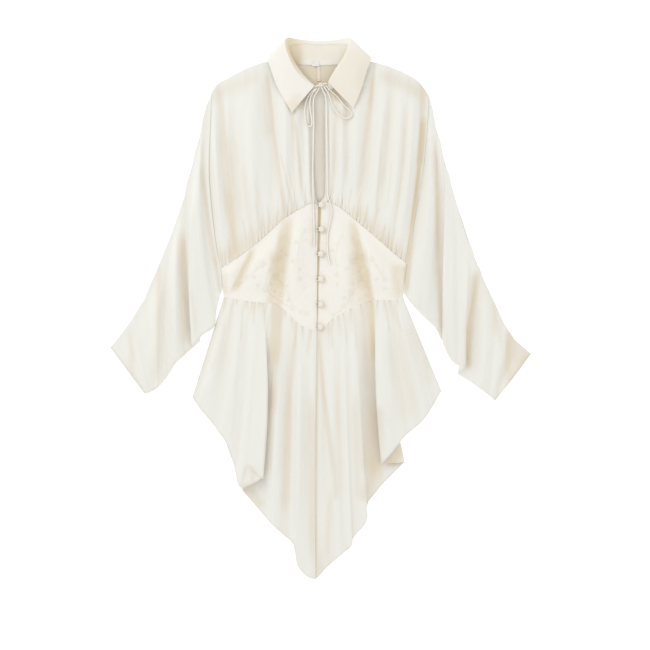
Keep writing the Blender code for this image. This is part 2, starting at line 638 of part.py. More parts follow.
def button(name, row):
    """A domed button on a shank, turned about its own axis."""
    dome = []
    for step in range(DOME_STEPS):
        angle = math.pi / 2 * (1 - step / DOME_STEPS)
        height = SHANK_HEIGHT + BUTTON_RIM + (BUTTON_HEIGHT - BUTTON_RIM) * math.sin(angle)
        dome.append((BUTTON_RADIUS * math.cos(angle), height))
    profile = dome + [
        (BUTTON_RADIUS, SHANK_HEIGHT + BUTTON_RIM),
        (BUTTON_RADIUS * 0.86, SHANK_HEIGHT),
        (SHANK_RADIUS, SHANK_HEIGHT),
        (SHANK_RADIUS, 0.0),
        (0.0, 0.0),
    ]
    bm = bmesh.new()
    verts = [bm.verts.new((radius, 0.0, height)) for radius, height in profile]
    for upper, lower in zip(verts, verts[1:]):
        bm.edges.new((upper, lower))
    data = bpy.data.meshes.new(name)
    bm.to_mesh(data)
    bm.free()
    made = add_object(name, data, CREAM, 0.5)
    made.location = (row.x * MM, row.y * MM, row.rest_z * MM + REST_GAP)
    screw = made.modifiers.new("turned", "SCREW")
    screw.axis = "Z"
    screw.steps = TURN_STEPS
    screw.render_steps = TURN_STEPS
    screw.use_merge_vertices = True
    screw.merge_threshold = 0.00005
    screw.use_smooth_shade = True


def button_loop(name, row):
    """A rouleau loop from the right front's edge, round the button's shank and back."""
    x = row.x * MM
    y = row.y * MM
    z = row.rest_z * MM + REST_GAP + LOOP_RADIUS + LOOP_LIFT
    bend = SHANK_RADIUS + LOOP_RADIUS + REST_GAP
    points = [(LOOP_END_X, y + LOOP_SPREAD, z), (LOOP_END_X / 2, y + LOOP_SPREAD, z)]
    for step in range(7):
        angle = math.pi / 2 - math.pi * step / 6
        points.append((x + bend * math.cos(angle), y + bend * math.sin(angle), z))
    points += [(LOOP_END_X / 2, y - LOOP_SPREAD, z), (LOOP_END_X, y - LOOP_SPREAD, z)]
    tube(name, points, LOOP_RADIUS, CREAM)


def plate(name, size, place, slope):
    """A small flat plate of cloth tape."""
    data = bpy.data.meshes.new(name)
    bm = bmesh.new()
    bmesh.ops.create_cube(bm, size=1.0)
    bmesh.ops.scale(bm, vec=size, verts=bm.verts)
    bm.to_mesh(data)
    bm.free()
    made = add_object(name, data, WHITE)
    made.location = place
    made.rotation_euler.x = slope


def neck_ties():
    """The bow at the neck: a knot between the stand's ends, two loops and two tails."""
    knot = [np.array(point) * MM for point in KNOT_ROUTE]
    tube("tie_knot", knot, TIE_RADIUS, CREAM, KNOT_RADII)
    tube("tie_loop_right", smooth_route(TIE_LOOP_RIGHT, TIE_SPACING), TIE_RADIUS, CREAM)
    tube("tie_loop_left", smooth_route(TIE_LOOP_LEFT, TIE_SPACING), TIE_RADIUS, CREAM)
    tube("tie_tail_right", smooth_route(TIE_TAIL_RIGHT, TAIL_SPACING), TIE_RADIUS, CREAM)
    tube("tie_tail_left", smooth_route(TIE_TAIL_LEFT, TAIL_SPACING), TIE_RADIUS, CREAM)


def back_bodice():
    outline = seam_points(ARMHOLE_RIGHT, "y", 414, 76, 18)
    outline += seam_points(WAIST_SEAM_RIGHT, "x", -189, -12, 8)
    outline += seam_points(WAIST_SEAM_LEFT, "x", 3, 165, 8)
    outline += seam_points(ARMHOLE_LEFT, "y", 87, 407, 18)
    outline += edge_points(BODICE_LEFT[:7:-1], "top", ())
    outline += [np.array(point) * MM for point in reversed(BACK_NECK)]
    outline += edge_points(BODICE_RIGHT[4::-1], "top", ())
    flat_panel("bodice_back", inset(outline, SEAM_GAP / 2), WHITE)


def back_waist():
    outline = seam_points(WAIST_SEAM_RIGHT, "x", -190, -12, 8)
    outline += seam_points(WAIST_SEAM_LEFT, "x", 3, 164, 8)
    outline += seam_points(SKIRT_SEAM_LEFT, "x", 157, 2, 8)
    outline += seam_points(SKIRT_SEAM_RIGHT, "x", -10, -186, 9)
    flat_panel("waist_back", inset(outline, SEAM_GAP / 2), CREAM)


def back_skirt():
    outline = seam_points(SKIRT_SEAM_RIGHT, "x", -186, -10, 9)
    outline += seam_points(SKIRT_SEAM_LEFT, "x", 2, 157, 8)
    outline += edge_points(SKIRT_LEFT[::-1], "hem", TUCKED_AT_SKIRT_HEM)
    outline += edge_points(SKIRT_RIGHT[::-1], "hem", TUCKED_AT_SKIRT_HEM)
    flat_panel("skirt_back", inset(outline, SEAM_GAP / 2), WHITE)


def back_sleeve(name, folds, armhole):
    outline = edge_points(folds, "top", ())
    outline += edge_points(folds[::-1], "hem", TUCKED)
    outline += seam_points(armhole, "y", armhole[-1].y, armhole[0].y - 3, 20)
    flat_panel(name, inset(outline, SEAM_GAP / 2), WHITE)


def main():
    cloth_panel("bodice_front_right", bodice_surface(BODICE_RIGHT, ARMHOLE_RIGHT, WAIST_SEAM_RIGHT, -1), WHITE)
    cloth_panel("bodice_front_left", bodice_surface(BODICE_LEFT, ARMHOLE_LEFT, WAIST_SEAM_LEFT, 1), WHITE)
    cloth_panel("waist_front_right", waist_surface(WAIST_RIGHT, WAIST_SEAM_RIGHT, SKIRT_SEAM_RIGHT), CREAM)
    cloth_panel("waist_front_left", waist_surface(WAIST_LEFT, WAIST_SEAM_LEFT, SKIRT_SEAM_LEFT), CREAM)
    cloth_panel("skirt_front_right", skirt_surface(SKIRT_RIGHT, SKIRT_SEAM_RIGHT), WHITE)
    cloth_panel("skirt_front_left", skirt_surface(SKIRT_LEFT, SKIRT_SEAM_LEFT), WHITE)
    cloth_panel("sleeve_front_right", sleeve_surface(SLEEVE_RIGHT, ARMHOLE_RIGHT, -1), WHITE)
    cloth_panel("sleeve_front_left", sleeve_surface(SLEEVE_LEFT, ARMHOLE_LEFT, 1), WHITE)
    cloth_panel("collar_fall", fall_surface(), CREAM, COLLAR_CLOTH)
    cloth_panel("collar_stand", stand_surface(), CREAM, STAND_CLOTH)
    back_bodice()
    back_waist()
    back_skirt()
    back_sleeve("sleeve_back_right", SLEEVE_RIGHT, ARMHOLE_RIGHT)
    back_sleeve("sleeve_back_left", SLEEVE_LEFT, ARMHOLE_LEFT)
    for number, row in enumerate(BUTTONS, start=1):
        button(f"button_{number}", row)
        button_loop(f"button_loop_{number}", row)
    plate("neck_label", LABEL_SIZE, LABEL_PLACE, LABEL_SLOPE)
    plate("size_tab", TAB_SIZE, TAB_PLACE, 0.0)
    neck_ties()


for old in list(bpy.data.objects):
    bpy.data.objects.remove(old)
SHIRT = bpy.data.collections.new("batwing_shirt")
bpy.context.scene.collection.children.link(SHIRT)
main()
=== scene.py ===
"""The looks of a batwing shirt laid flat on its back: its cloth, ties, buttons and studio.

Metres, +Z up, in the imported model's frame. Right and left are the wearer's, so the right side is
at -X, and the neck points towards +Y. Named sizes and the shape tables are in millimetres, as in the
part's source, where no comment says otherwise. A side is -1 for the right and 1 for the left.
"""
import math
import random
from collections import namedtuple

import bmesh
import bpy
import numpy as np
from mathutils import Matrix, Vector


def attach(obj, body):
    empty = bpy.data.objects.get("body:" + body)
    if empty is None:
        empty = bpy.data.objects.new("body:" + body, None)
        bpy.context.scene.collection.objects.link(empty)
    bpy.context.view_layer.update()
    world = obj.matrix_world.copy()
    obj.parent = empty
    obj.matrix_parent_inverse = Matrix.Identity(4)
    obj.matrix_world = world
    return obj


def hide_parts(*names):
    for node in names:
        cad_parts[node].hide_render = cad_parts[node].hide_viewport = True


bl_info = {
    "name": "Batwing Shirt",
    "version": (1, 0, 0),
    "blender": (4, 5, 0),
    "location": "View3D > Sidebar > Shirt",
    "description": "Dresses a batwing shirt that is laid flat, and lights it",
    "category": "Object",
}

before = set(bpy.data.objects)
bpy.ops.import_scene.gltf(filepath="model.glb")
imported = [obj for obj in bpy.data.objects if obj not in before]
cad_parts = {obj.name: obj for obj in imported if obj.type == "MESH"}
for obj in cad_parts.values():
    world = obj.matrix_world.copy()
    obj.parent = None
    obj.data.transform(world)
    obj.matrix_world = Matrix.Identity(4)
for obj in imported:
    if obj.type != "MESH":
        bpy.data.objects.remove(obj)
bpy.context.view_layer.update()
BODY = "root"

MM = 0.001

# A fold takes this much of its length to rise from the seam to its full height
RISE_SHARE = 0.4

# Half of the height and of the width that the rounded edge of a turned-over fold takes
LIP_HEIGHT = 1.2
LIP_WIDTH = 1.0

# Shares of a panel's length over which it is drawn to the exact line of its seams
SEAM_FADE = 0.4
WAIST_FADE = 0.66

# How far the cloth's edges pass the middle of a seam, so that no gap shows
SEAM_OVERLAP = 0.35

# The lengths that the rows of the cloths' grids are spaced for, in metres
BODICE_LENGTH = 0.36
SLEEVE_LENGTH = 0.38
WAIST_LENGTH = 0.16
SKIRT_LENGTH = 0.40
FALL_LENGTH = 0.06
STAND_LENGTH = 0.04

# Distances between the columns and the rows of the grids, in metres, and their numbers
COLUMN_PITCH = 1.45 * MM
SKIRT_PITCH = 1.8 * MM
SLEEVE_PITCH = 2.2 * MM
ROW_PITCH = 4.4 * MM
WAIST_ROW_PITCH = 1.8 * MM
COLLAR_PITCH = 2.0 * MM
COLLAR_COLUMNS = 260
ROLL_STEPS = 9
BACK_COLUMNS = 100
BACK_ROWS = 90

# Distances from a panel's edge at which its grid has extra rows, for hems and seams
EDGE_ROWS = (0.0, 0.7, 1.5, 2.4, 3.3, 4.1, 4.8, 5.6, 7.0)

# A turned hem's width and rise, how far inside and outside its line it falls away, how much painted
# shade darkens its outer edge, standing in for shade there and for the deeper tone of its turned
# layers, and where that ends, and a tape's narrow hem
HEM_WIDTH = 4.2
HEM_RISE = 0.35
HEM_FALL = (0.2, 0.8)
HEM_SHADE = 0.2
HEM_SHADE_REACH = (1.2, 3.4)
TAPE_HEM = 1.4

# The stitches of a hem: how far inside its line they lie, their length, the share of it that shows,
# half their thread's width, how strongly they show and how deep they lie
STITCH_INSET = 0.7
STITCH = 3.0
STITCH_SHARE = 0.72
THREAD = 0.22
STITCH_STRENGTH = 0.35
STITCH_DEPTH = 0.12

# How deep the cloth dips into a seam, with half the dip's width; how much its allowance swells and
# from where to where; how high a seam lies where a front meets a back at the side; and how deep the
# shade in it is and where it ends
SEAM_DROP = 0.45
SEAM_DIP = 1.1
SEAM_SWELL = 0.25
SEAM_ALLOWANCE = (0.8, 2.4, 7, 11)
SEAM_EDGE = 1.9
SEAM_SHADE = 0.6
SEAM_SHADE_REACH = (0.8, 2.6)

# How far below the shoulder's point the armhole lines of the bodice and of the sleeves start
BODICE_SHOULDER = 2
SLEEVE_SHOULDER = 3

# Where along its line a crease comes up at its start and at its end, a band of shade at both ends
# and a spot of shade at its rim, as shares; and how abrupt a band's sharp and soft sides are
CREASE_START = (-0.02, 0.35)
CREASE_END = (-0.02, 0.45)
BAND_ENDS = (-0.06, 0.16)
SPOT_RIM = (0.55, 1.15)
SHARP_SIDE = 6
SOFT_SIDE = 2

# How the small folds of a gathered seam differ: their widths and distances as shares of the pitch,
# their reach and depth as shares of the row's, and how far they lean; how many more are short than
# long, and the longest; how fast they fade; how far the row's ends fade out past it and into it; and
# how much the cloth swells between them, and how deep their shade is
GATHER_WIDTH = (0.13, 0.26)
GATHER_STEP = (0.45, 1.6)
GATHER_REACH = (0.15, 1.0)
GATHER_SHORTNESS = 1.4
GATHER_LONGEST = 1.25
GATHER_FADE = 1.5
GATHER_ENDS = (6, 4)
GATHER_DEPTH = (0.55, 1.3)
GATHER_LEAN = (-0.12, 0.12)
GATHER_SWELL = 0.35
GATHER_SHADE = 0.55

# Painted shade in the hollows of the folds: its reach across them, the depth at which it is full, and its
# share
BROAD_SHADE = (13.0, 9.0, 0.55)
FINE_SHADE = (3.2, 1.6, 0.3)
BACK_SHADE = (8.0, 1.6, 0.35)

# The waist panel's motifs: how far they stand up; how far their flat bed reaches; a flower's petals,
# their reach and the dip between them; and a leaf's half width, as shares of the motif's size
FLOWER_RISE = 0.5
BED_REACH = (0.6, 1.5)
PETALS = 5
PETAL_REACH = 0.62
PETAL_DIP = 0.42
LEAF_WIDTH = 0.34

# The soft edges of a stem, a leaf and a petal; a flower's heart, in shares of its size; how strongly
# stem, petal and heart stand out; and how deep and how wide the veins are
STEM_EDGE = (0.5, 1.6)
LEAF_EDGE = (-0.5, 1.0)
PETAL_EDGE = (-0.4, 1.6)
HEART_EDGE = (0.08, 0.16)
STEM_STRENGTH = 0.6
PETAL_STRENGTH = 0.85
HEART_STRENGTH = 0.4
LEAF_VEIN = (0.35, 0.7)
PETAL_VEIN = (0.3, 0.02)

# How strongly the motifs' outline and the scrolls round them show, how sharp the scrolls' lines are,
# and how high their threads stand
OUTLINE_STRENGTH = 0.16
SCROLL_STRENGTH = 0.4
SCROLL_SHARPNESS = 24.0
THREAD_RISE = 0.10

# How far the bodice's edges are held apart over the waist seam; the heights at which the opening
# starts, is widest and ends; how far into the cloth it reaches; and how high its edges lie, and how
# far in they are brought to that height
KEYHOLE_SPREAD_RIGHT = 4.2
KEYHOLE_SPREAD_LEFT = 8.4
KEYHOLE_HEIGHTS = (202, 219, 400)
KEYHOLE_REACH = 34
KEYHOLE_EDGE = 4.4
KEYHOLE_EDGE_REACH = 13

# Where the sleeves meet the waist panel: the distance from the middle, how far round it they do, the
# heights between which they do, how far they would part there and the share of it that each closes;
# and how far a sleeve's armhole seam stands over the bodice, and how far out
UNDERARM = 180.0
UNDERARM_REACH = (4, 26)
UNDERARM_HEIGHTS = (26, 60, 80, 120)
UNDERARM_GAP = 5.0
UNDERARM_SHARE = 0.6
ARMHOLE_LIFT = 1.6
ARMHOLE_REACH = 5

# How far the left front's edge runs under the right front's below the waist seam, how much lower, and
# how far in it is carried; how many times as far it runs at the waist panel; and how deep its shade
# is at the skirt, and where that ends
UNDERLAP = 2.8
UNDERLAP_DROP = 0.8
UNDERLAP_REACH = (0.4, 9)
WAIST_UNDERLAP = 1.6
UNDERLAP_SHADE = 0.4
UNDERLAP_SHADE_REACH = (3.6, 6.4)

# The most that a back's creases stand up, the rim of it that stays flat, and between which heights
# the armhole seams bound the bodice's back
BACK_RISE = 0.9
BACK_RIM = (2, 9)
BACK_ARMHOLE_RIGHT = (410, 78)
BACK_ARMHOLE_LEFT = (405, 88)

# The painted shadow of the narrow gap beside the waist panel's closing: its width, how much narrower
# it gets to the bottom, its soft edge and its strength
GAP_WIDTH = 4.9
GAP_NARROWING = 2.4
GAP_FADE = 1.3
GAP_SHADOW_STRENGTH = 1.75

# How full the collar's roll out of its stand is; the least shade inside it, how much more there is at
# the right, and between which distances that grows; the groove of its stand, and the rounding of its
# pressed edges
ROLL_REACH = 1.3
COLLAR_INSIDE = (0.12, 0.75)
COLLAR_INSIDE_GROWS = (8, 58)
STAND_GROOVE = 0.5
PRESSED_EDGE = 0.5

# The blank label and tab inside the neck: middle, width, length, slope, wave and shade
Tape = namedtuple("Tape", "centre width length tilt sag shade")
TAPE_THICKNESS = 0.45
NECK_LABEL = Tape((-9.0, 470.8, 3.7), 14, 9.4, math.radians(7.5), 0.1, 0.05)
SIZE_TAB = Tape((-3.4, 451.5, 1.6), 7.4, 29, 0.0, 0.15, 0.55)

# A covered button: its height over the cloth, its radius, the height of its rim and of the dome
# above it, its underside and shank as radii and heights, and the small tucks round the rim; its
# even tone, the painted shade it has more of to the left, away from the key light, and its painted
# shade towards the cloth, with where each grows
BUTTON_LIFT = 0.3
BUTTON_RADIUS = 6.0
BUTTON_RIM = 3.8
BUTTON_DOME = 3.2
BUTTON_UNDERSIDE = [
    (6.0, 3.4), (5.85, 2.95), (5.4, 2.65), (4.4, 2.55), (3.0, 2.5), (2.1, 2.3), (1.9, 1.2), (2.0, 0.0),
]
BUTTON_TUCKS = (0.012, 0.03, 0.054, 0.072, 0.096, 0.12, 0.12, 0.096, 0.06)
BUTTON_SIDES = 48
TUCK_COUNT = 12
TUCK_ROWS = slice(9, 18)
BUTTON_TONE = 0.35
BUTTON_SIDE_SHADE = 0.3
BUTTON_SIDE_GROWS = (-1, 5)
BUTTON_SHADE = 1.1
BUTTON_SHADE_GROWS = (5.4, 2.2)

# A button loop: its tube's radius, its height over the cloth, its bend round the shank, and the
# leg that comes out of the front edge, as x, distance from the middle and height
LOOP_TUBE = 0.7
LOOP_RISE = 1.4
LOOP_BEND = 3.0
LOOP_LEG = [(-9.6, 2.6, -1.2), (-8.0, 3.0, -0.2), (-4.3, 3.2, 0.0)]

# The bow's knot, wrapped round its middle
KNOT_MIDDLE = (0.9, 429.6, 11.6)
KNOT_RADIUS = 2.75
KNOT_WIDTH = 5.6
KNOT_TURNS = 2.1
KNOT_STEPS = 36

# Colours that aren't in the sidebar: the painted shadow in a narrow gap between layers, a hem's
# stitches, the motifs' outline, the painted shade on a tie's sides with how fast it grows there, and
# the studio's white
GAP_SHADOW_COLOUR = (0.56, 0.44, 0.31, 1.0)
STITCH_COLOUR = (0.62, 0.56, 0.46, 1.0)
MOTIF_OUTLINE = (0.78, 0.68, 0.50, 1.0)
TIE_SIDE_SHADE = (0.70, 0.61, 0.48, 1.0)
TIE_SIDE_POWER = 2.2
WHITE = (1.0, 1.0, 1.0, 1.0)
PAPER = (0.5, 0.5, 0.5, 1.0)

# How much a cloth's roughness varies over its wrinkles, and how rough its sheen is
ROUGHNESS_SPREAD = 0.12
SHEEN_ROUGHNESS = 0.45

# The camera's place straight above the shirt, its sensor and its lens
CAMERA_PLACE = (0.00864, -0.0307, 6.0)
CAMERA_SENSOR = 36.0
CAMERA_LENS = 173.08

# The lamps' names and places, the lengths of their sides, and their colours
KEY_LIGHT = ("key_light", (-2.2, 1.9, 2.0), 1.6, (1.0, 1.0, 0.99))
FILL_LIGHT = ("fill_light", (2.4, -1.2, 2.4), 2.4, (1.0, 0.99, 0.98))

# The white floor's half width and its height, just under the cloth
FLOOR_SIZE = 6.0
FLOOR_Z = -0.0002


def rows(kind, values):
    """A table's rows, with the values of each named."""
    return [kind(*value) for value in values]


def by_piece(kind, table):
    """The rows of a table for each piece, with the values of each named."""
    return {piece: rows(kind, values) for piece, values in table.items()}


# Positions and heights of the seams that a front panel hangs from
SeamPoint = namedtuple("SeamPoint", "x y rise")

WAIST_SEAM_RIGHT = rows(SeamPoint, (
    (-192, 75, 2.2), (-176, 85, 4.4), (-151, 104, 5), (-120, 127, 5.5), (-95, 150, 5), (-68, 174, 5.5),
    (-55, 182, 4.4), (-37, 193, 6), (-24, 200, 6.5), (-3, 203, 6.5),
))
WAIST_SEAM_LEFT = rows(SeamPoint, (
    (-4, 203, 6.5), (16, 204, 6.5), (37, 194, 6), (52, 183, 5.5), (64, 173, 4.4), (84, 156, 6),
    (103, 140, 6), (135, 112, 5.5), (150, 99, 4), (167, 85, 2.2),
))
SKIRT_SEAM_RIGHT = rows(SeamPoint, (
    (-188, 22, 2.2), (-168, 20, 5), (-149, 16, 5.5), (-111, 12, 6.5), (-89, 10, 4), (-74, 2, 4.8),
    (-57, -13, 7), (-41, -29, 7.5), (-26, -37, 7), (-5, -43, 6.5),
))
SKIRT_SEAM_LEFT = rows(SeamPoint, (
    (-7, -43, 6.5), (4, -36, 6.5), (26, -17, 7.5), (48, -6, 7.5), (70, 7, 5.5), (87, 12, 4),
    (101, 16, 5.5), (122, 17, 7), (141, 17, 5), (160, 24, 2.2),
))
ARMHOLE_RIGHT = rows(SeamPoint, (
    (-209, 416, 2.4), (-211, 370, 2.6), (-213, 324, 3), (-214, 257, 3.2), (-210, 202, 3.2),
    (-202, 132, 3), (-194, 77, 2.4), (-190, 36, 2),
))
ARMHOLE_LEFT = rows(SeamPoint, (
    (209, 409, 2.4), (208, 380, 2.6), (205, 340, 2.8), (200, 284, 3), (190, 221, 3), (179, 150, 3),
    (169, 88, 2.4), (160, 31, 2),
))

# One fold line, from its top end to its hem end, with the sideways bow of its middle and its height
# above the surface at the top, the middle and the hem; None is a value that its seam gives
Fold = namedtuple("Fold", "name top_x top_y hem_x hem_y bow rise_top rise_mid rise_hem")
SLEEVE_TOP_RISE = 2


def bodice_fold(name, top_x, top_y, hem_x, bow, rise_top, rise_mid):
    """A fold line from the shoulder or the collar down to the waist seam."""
    return Fold(name, top_x, top_y, hem_x, None, bow, rise_top, rise_mid, None)


def waist_fold(name, top_x, hem_x, rise_mid):
    """A straight fold line between the waist panel's two seams."""
    return Fold(name, top_x, None, hem_x, None, 0, None, rise_mid, None)


def skirt_fold(name, top_x, hem_x, hem_y, bow, rise_mid, rise_hem):
    """A fold line from the waist panel's lower seam to the hem."""
    return Fold(name, top_x, None, hem_x, hem_y, bow, None, rise_mid, rise_hem)


def sleeve_fold(name, top_x, top_y, hem_x, hem_y, bow, rise_mid, rise_hem):
    """A fold line from the overarm seam to the underarm seam."""
    return Fold(name, top_x, top_y, hem_x, hem_y, bow, SLEEVE_TOP_RISE, rise_mid, rise_hem)


BODICE_RIGHT = rows(bodice_fold, (
    ("roll beside the armhole", -205, 422, -181, -6, 3, 13),
    ("valley from the shoulder", -194, 435, -161, -7, 3, 3.2),
    ("low swell", -181, 441, -149, -8, 4, 9),
    ("shallow valley", -168, 448, -141, -10, 5, 5.5),
    ("broad swell", -135, 464, -120, -4, 6, 17),
    ("valley below the collar", -105, 474, -90, 12, 4, 3.6),
    ("swell", -76, 475, -72, 8, 4, 12),
    ("valley", -55, 457, -52, 2, 4, 6),
    ("swell", -49, 441, -41, 0, 4, 11),
    ("valley", -38, 428, -29, 0, 4, 6),
    ("swell", -26, 422, -16, 0, 5, 10),
    ("front edge", -13, 418, -5, -3, 6, 6.5),
))
BODICE_LEFT = rows(bodice_fold, (
    ("front edge", 9, 416, -1.5, 1, 6, 6.5),
    ("swell", 20, 422, 11, 0, 5, 10),
    ("valley", 32, 428, 26, 0, 4, 6),
    ("swell", 43, 441, 38, 0, 4, 11),
    ("valley", 50, 457, 49, 0, 4, 6),
    ("swell", 70, 475, 60, 2, 4, 11),
    ("valley below the collar", 98, 474, 70, 8, 4, 3.6),
    ("broad swell", 120, 469, 93, 6, 6, 16),
    ("shallow valley", 139, 462, 107, 4, 6, 8),
    ("swell", 156, 455, 126, 6, 7, 15),
    ("shallow valley", 168, 449, 136, 6, 7, 11),
    ("high roll", 179, 443, 148, 6, 6, 20),
    ("drop", 189, 435, 156, 6, 4.5, 13),
    ("deep valley", 199, 423, 163, 5, 3, 3),
))
WAIST_RIGHT = rows(waist_fold, (
    ("side seam", -190, -186, 1.9),
    ("roll", -166, -176, 11),
    ("slanting crease", -131, -165, 3.4),
    ("swell", -112, -135, 13),
    ("swell", -87, -112, 14),
    ("trough by the dart", -57, -85, 3.2),
    ("roll beside the trough", -37, -64, 16),
    ("flat", -24, -37, 11),
    ("front edge", -5, -7.4, 7),
))
WAIST_LEFT = rows(waist_fold, (
    ("front edge", -2, -5.6, 7),
    ("flat", 16, 22, 11),
    ("roll beside the trough", 43, 57, 16),
    ("trough by the dart", 64, 90, 3.2),
    ("roll", 84, 112, 14),
    ("flat", 126, 135, 11),
    ("trough at the side", 148, 149, 5),
    ("side seam", 165, 158, 1.9),
))
SKIRT_RIGHT = rows(skirt_fold, (
    ("side seam", -186, -246, -170, 1, 2.4, 2),
    ("swell", -176, -229, -194, 4, 13, 7),
    ("shallow valley", -163, -208, -219, 0, 8, 5),
    ("swell", -149, -183, -253, 0, 16, 11),
    ("shallow valley", -134, -165, -303, 0, 12, 10),
    ("flap", -121, -153, -342, 0, 18, 16),
    ("flap edge", -109, -112, -324, 6, 15, 13),
    ("under edge", -95, -150, -348, 0, 7, 6.5),
    ("deep valley", -85, -112, -392, 0, 2.8, 2.8),
    ("swell", -70, -91, -415, -2, 14, 10),
    ("valley", -57, -68, -436, 0, 3.8, 3.2),
    ("drop", -47, -52, -449, 0, 11, 9),
    ("roll", -37, -44, -492, 0, 15, 10),
    ("valley", -22, -26, -513, 0, 6, 5),
    ("front edge", -6.8, -9.8, -519, -2, 8, 6),
))
SKIRT_LEFT = rows(skirt_fold, (
    ("front edge", -5.6, -8.6, -519, -2, 8, 6),
    ("valley", 3, 11, -497, 0, 5, 5),
    ("swell", 14, 32, -478, 0, 13, 8),
    ("shallow valley", 26, 45, -467, 0, 9, 6),
    ("roll", 39, 59, -455, 0, 17, 11),
    ("step", 50, 62, -441, 0, 13, 7),
    ("swell", 60, 88, -407, 0, 15, 12),
    ("drop", 72, 90, -372, 0, 10, 6),
    ("deep valley", 84, 116, -340, -4, 2.8, 2.8),
    ("under edge", 92, 161, -294, 0, 7, 6.5),
    ("flap edge", 107, 117, -297, -6, 15, 13),
    ("flap", 118, 137, -275, 0, 18, 14),
    ("shallow valley", 132, 162, -244, 0, 12, 10),
    ("swell", 145, 197, -213, 0, 15, 8),
    ("side seam", 158, 232, -158, 0, 2.4, 2),
))
SLEEVE_RIGHT = rows(sleeve_fold, (
    ("valley", -218, 393, -200, -4, -14, 3.2, 2.6),
    ("swell", -226, 363, -205, -34, -15, 15, 8),
    ("flap", -232, 332, -228, -52, -10, 17, 10),
    ("flap edge", -238, 308, -246, -74, -10, 14, 11),
    ("under edge", -252, 254, -231, -62, -8, 7, 6),
    ("deep valley", -262, 214, -259, -87, -6, 2.8, 2.6),
    ("swell", -274, 179, -275, -101, -5, 15, 10),
    ("shallow valley", -287, 142, -295, -131, -6, 5.5, 4),
    ("swell", -312, 81, -312, -151, 0, 13, 7),
    ("shallow valley", -339, 17, -324, -158, 0, 6.5, 4),
    ("swell", -368, -29, -333, -162, 0, 10, 6),
    ("cuff edge", -403, -74, -338, -162, 0, 7, 2.4),
))
SLEEVE_LEFT = rows(sleeve_fold, (
    ("roll beside the armhole", 215, 386, 176, 9, 9, 14, 8),
    ("swell", 218, 369, 196, -12, 10, 11, 6),
    ("deep valley", 221, 352, 221, -36, 4, 2.8, 2.6),
    ("under edge", 227, 328, 247, -56, 3, 6.2, 6),
    ("flap edge", 243, 266, 234, -62, -3, 15.5, 11),
    ("roll", 252, 236, 249, -96, 0, 17, 10),
    ("shallow valley", 261, 205, 262, -107, 0, 12, 9),
    ("second flap edge", 288, 122, 279, -111, -4, 14, 11),
    ("second under edge", 302, 84, 263, -125, 0, 6.8, 6),
    ("deep valley", 312, 60, 291, -142, -4, 2.8, 2.6),
    ("swell", 322, 38, 308, -155, 0, 15, 9),
    ("shallow valley", 336, 9, 321, -164, 0, 10, 6),
    ("swell", 352, -27, 328, -170, 0, 14, 8),
    ("valley", 373, -59, 333, -174, 0, 5, 4),
    ("cuff edge", 404, -86, 335, -176, 1, 8, 2.4),
))

# Fold lines that lie inside the outline, tucked under or over their neighbours
TUCKED = ("under edge", "second under edge")
TUCKED_AT_SKIRT_HEM = ("flap edge",)

# Fold lines where the cloth turns over, and needs a rounded edge
TURNED = TUCKED + ("flap edge", "second flap edge")

# The collar's fall, from its fold line to its outer edge
FallLine = namedtuple("FallLine", "fold_x fold_y fold_z swell edge_x edge_y edge_z")

COLLAR_FALL = rows(FallLine, (
    (-13, 426, 14, 2, -55, 376, 13), (-32, 440, 17, 2.5, -71, 404, 12.5),
    (-49, 460, 19, 2.5, -85, 431, 12), (-61, 484, 18, 2.5, -95, 460, 11),
    (-68, 510, 13, 2, -102, 480, 8.5), (-64, 519, 7.5, 0, -96, 483, 2.6),
    (-47, 517, 5.4, -1.6, -70, 479, 0.8), (-24, 514, 5.2, -1.6, -30, 476, 0.8),
    (-2, 513, 5.2, -1.6, -2, 475, 0.8), (20, 514, 5.2, -1.6, 26, 476, 0.8),
    (42, 517, 5.4, -1.6, 65, 479, 0.8), (58, 519, 7.5, 0, 90, 483, 2.6), (61, 510, 13, 2, 97, 480, 8.5),
    (50, 482, 18, 2.5, 88, 454, 11), (37, 461, 19, 2.5, 80, 427, 12), (27, 446, 17, 2.5, 72, 405, 12.5),
    (16, 433, 14, 2, 63, 384, 13),
))

# The collar's stand, from the neck seam up to just inside the fold line
StandLine = namedtuple("StandLine", "seam_x seam_y seam_z top_x top_y top_z")

COLLAR_STAND = rows(StandLine, (
    (-17, 419, 7.2, -12, 427, 9.8), (-34, 426, 6.3, -28, 442, 12), (-48, 441, 5.7, -43, 461, 13.6),
    (-56, 458, 5.6, -55, 482, 13.2), (-54, 467, 3.6, -60, 501, 10.6), (-40, 469, 2.2, -50, 508, 8),
    (-18, 468.5, 2, -20, 508, 7.4), (-2, 468, 2, -2, 507, 7.2), (14, 468.5, 2, 16, 508, 7.4),
    (35, 469, 2.2, 45, 508, 8), (49, 467, 3.6, 53, 501, 10.6), (51, 458, 5.6, 44, 481, 13.2),
    (44, 441, 5.7, 31, 461, 13.6), (31, 427.5, 6.3, 22, 447, 12), (14, 418.5, 7.1, 14, 433, 9.8),
))

# Which of the stand's rows each row of the fall rolls out of
STAND_PLACES = (0, 1, 2, 3, 3.9, 4.3, 5, 6, 7, 8, 9, 9.7, 10.1, 11, 12, 13, 14)

# The back's neckline, from the right shoulder to the left
BACK_NECK = [(-103, 471), (-70, 470), (-36, 470.5), (-2, 470), (32, 470.5), (66, 470), (97, 471)]

# Covered buttons down the left front's edge, with the height of the cloth under the shank
Button = namedtuple("Button", "x y rest_z")

BUTTONS = rows(Button, (
    (2, 200, 7.3), (2.4, 153, 8.1), (1.2, 105.5, 8.5), (1.6, 57.5, 8.5), (1.2, 9, 7.8), (0.4, -34.5, 7.3),
))

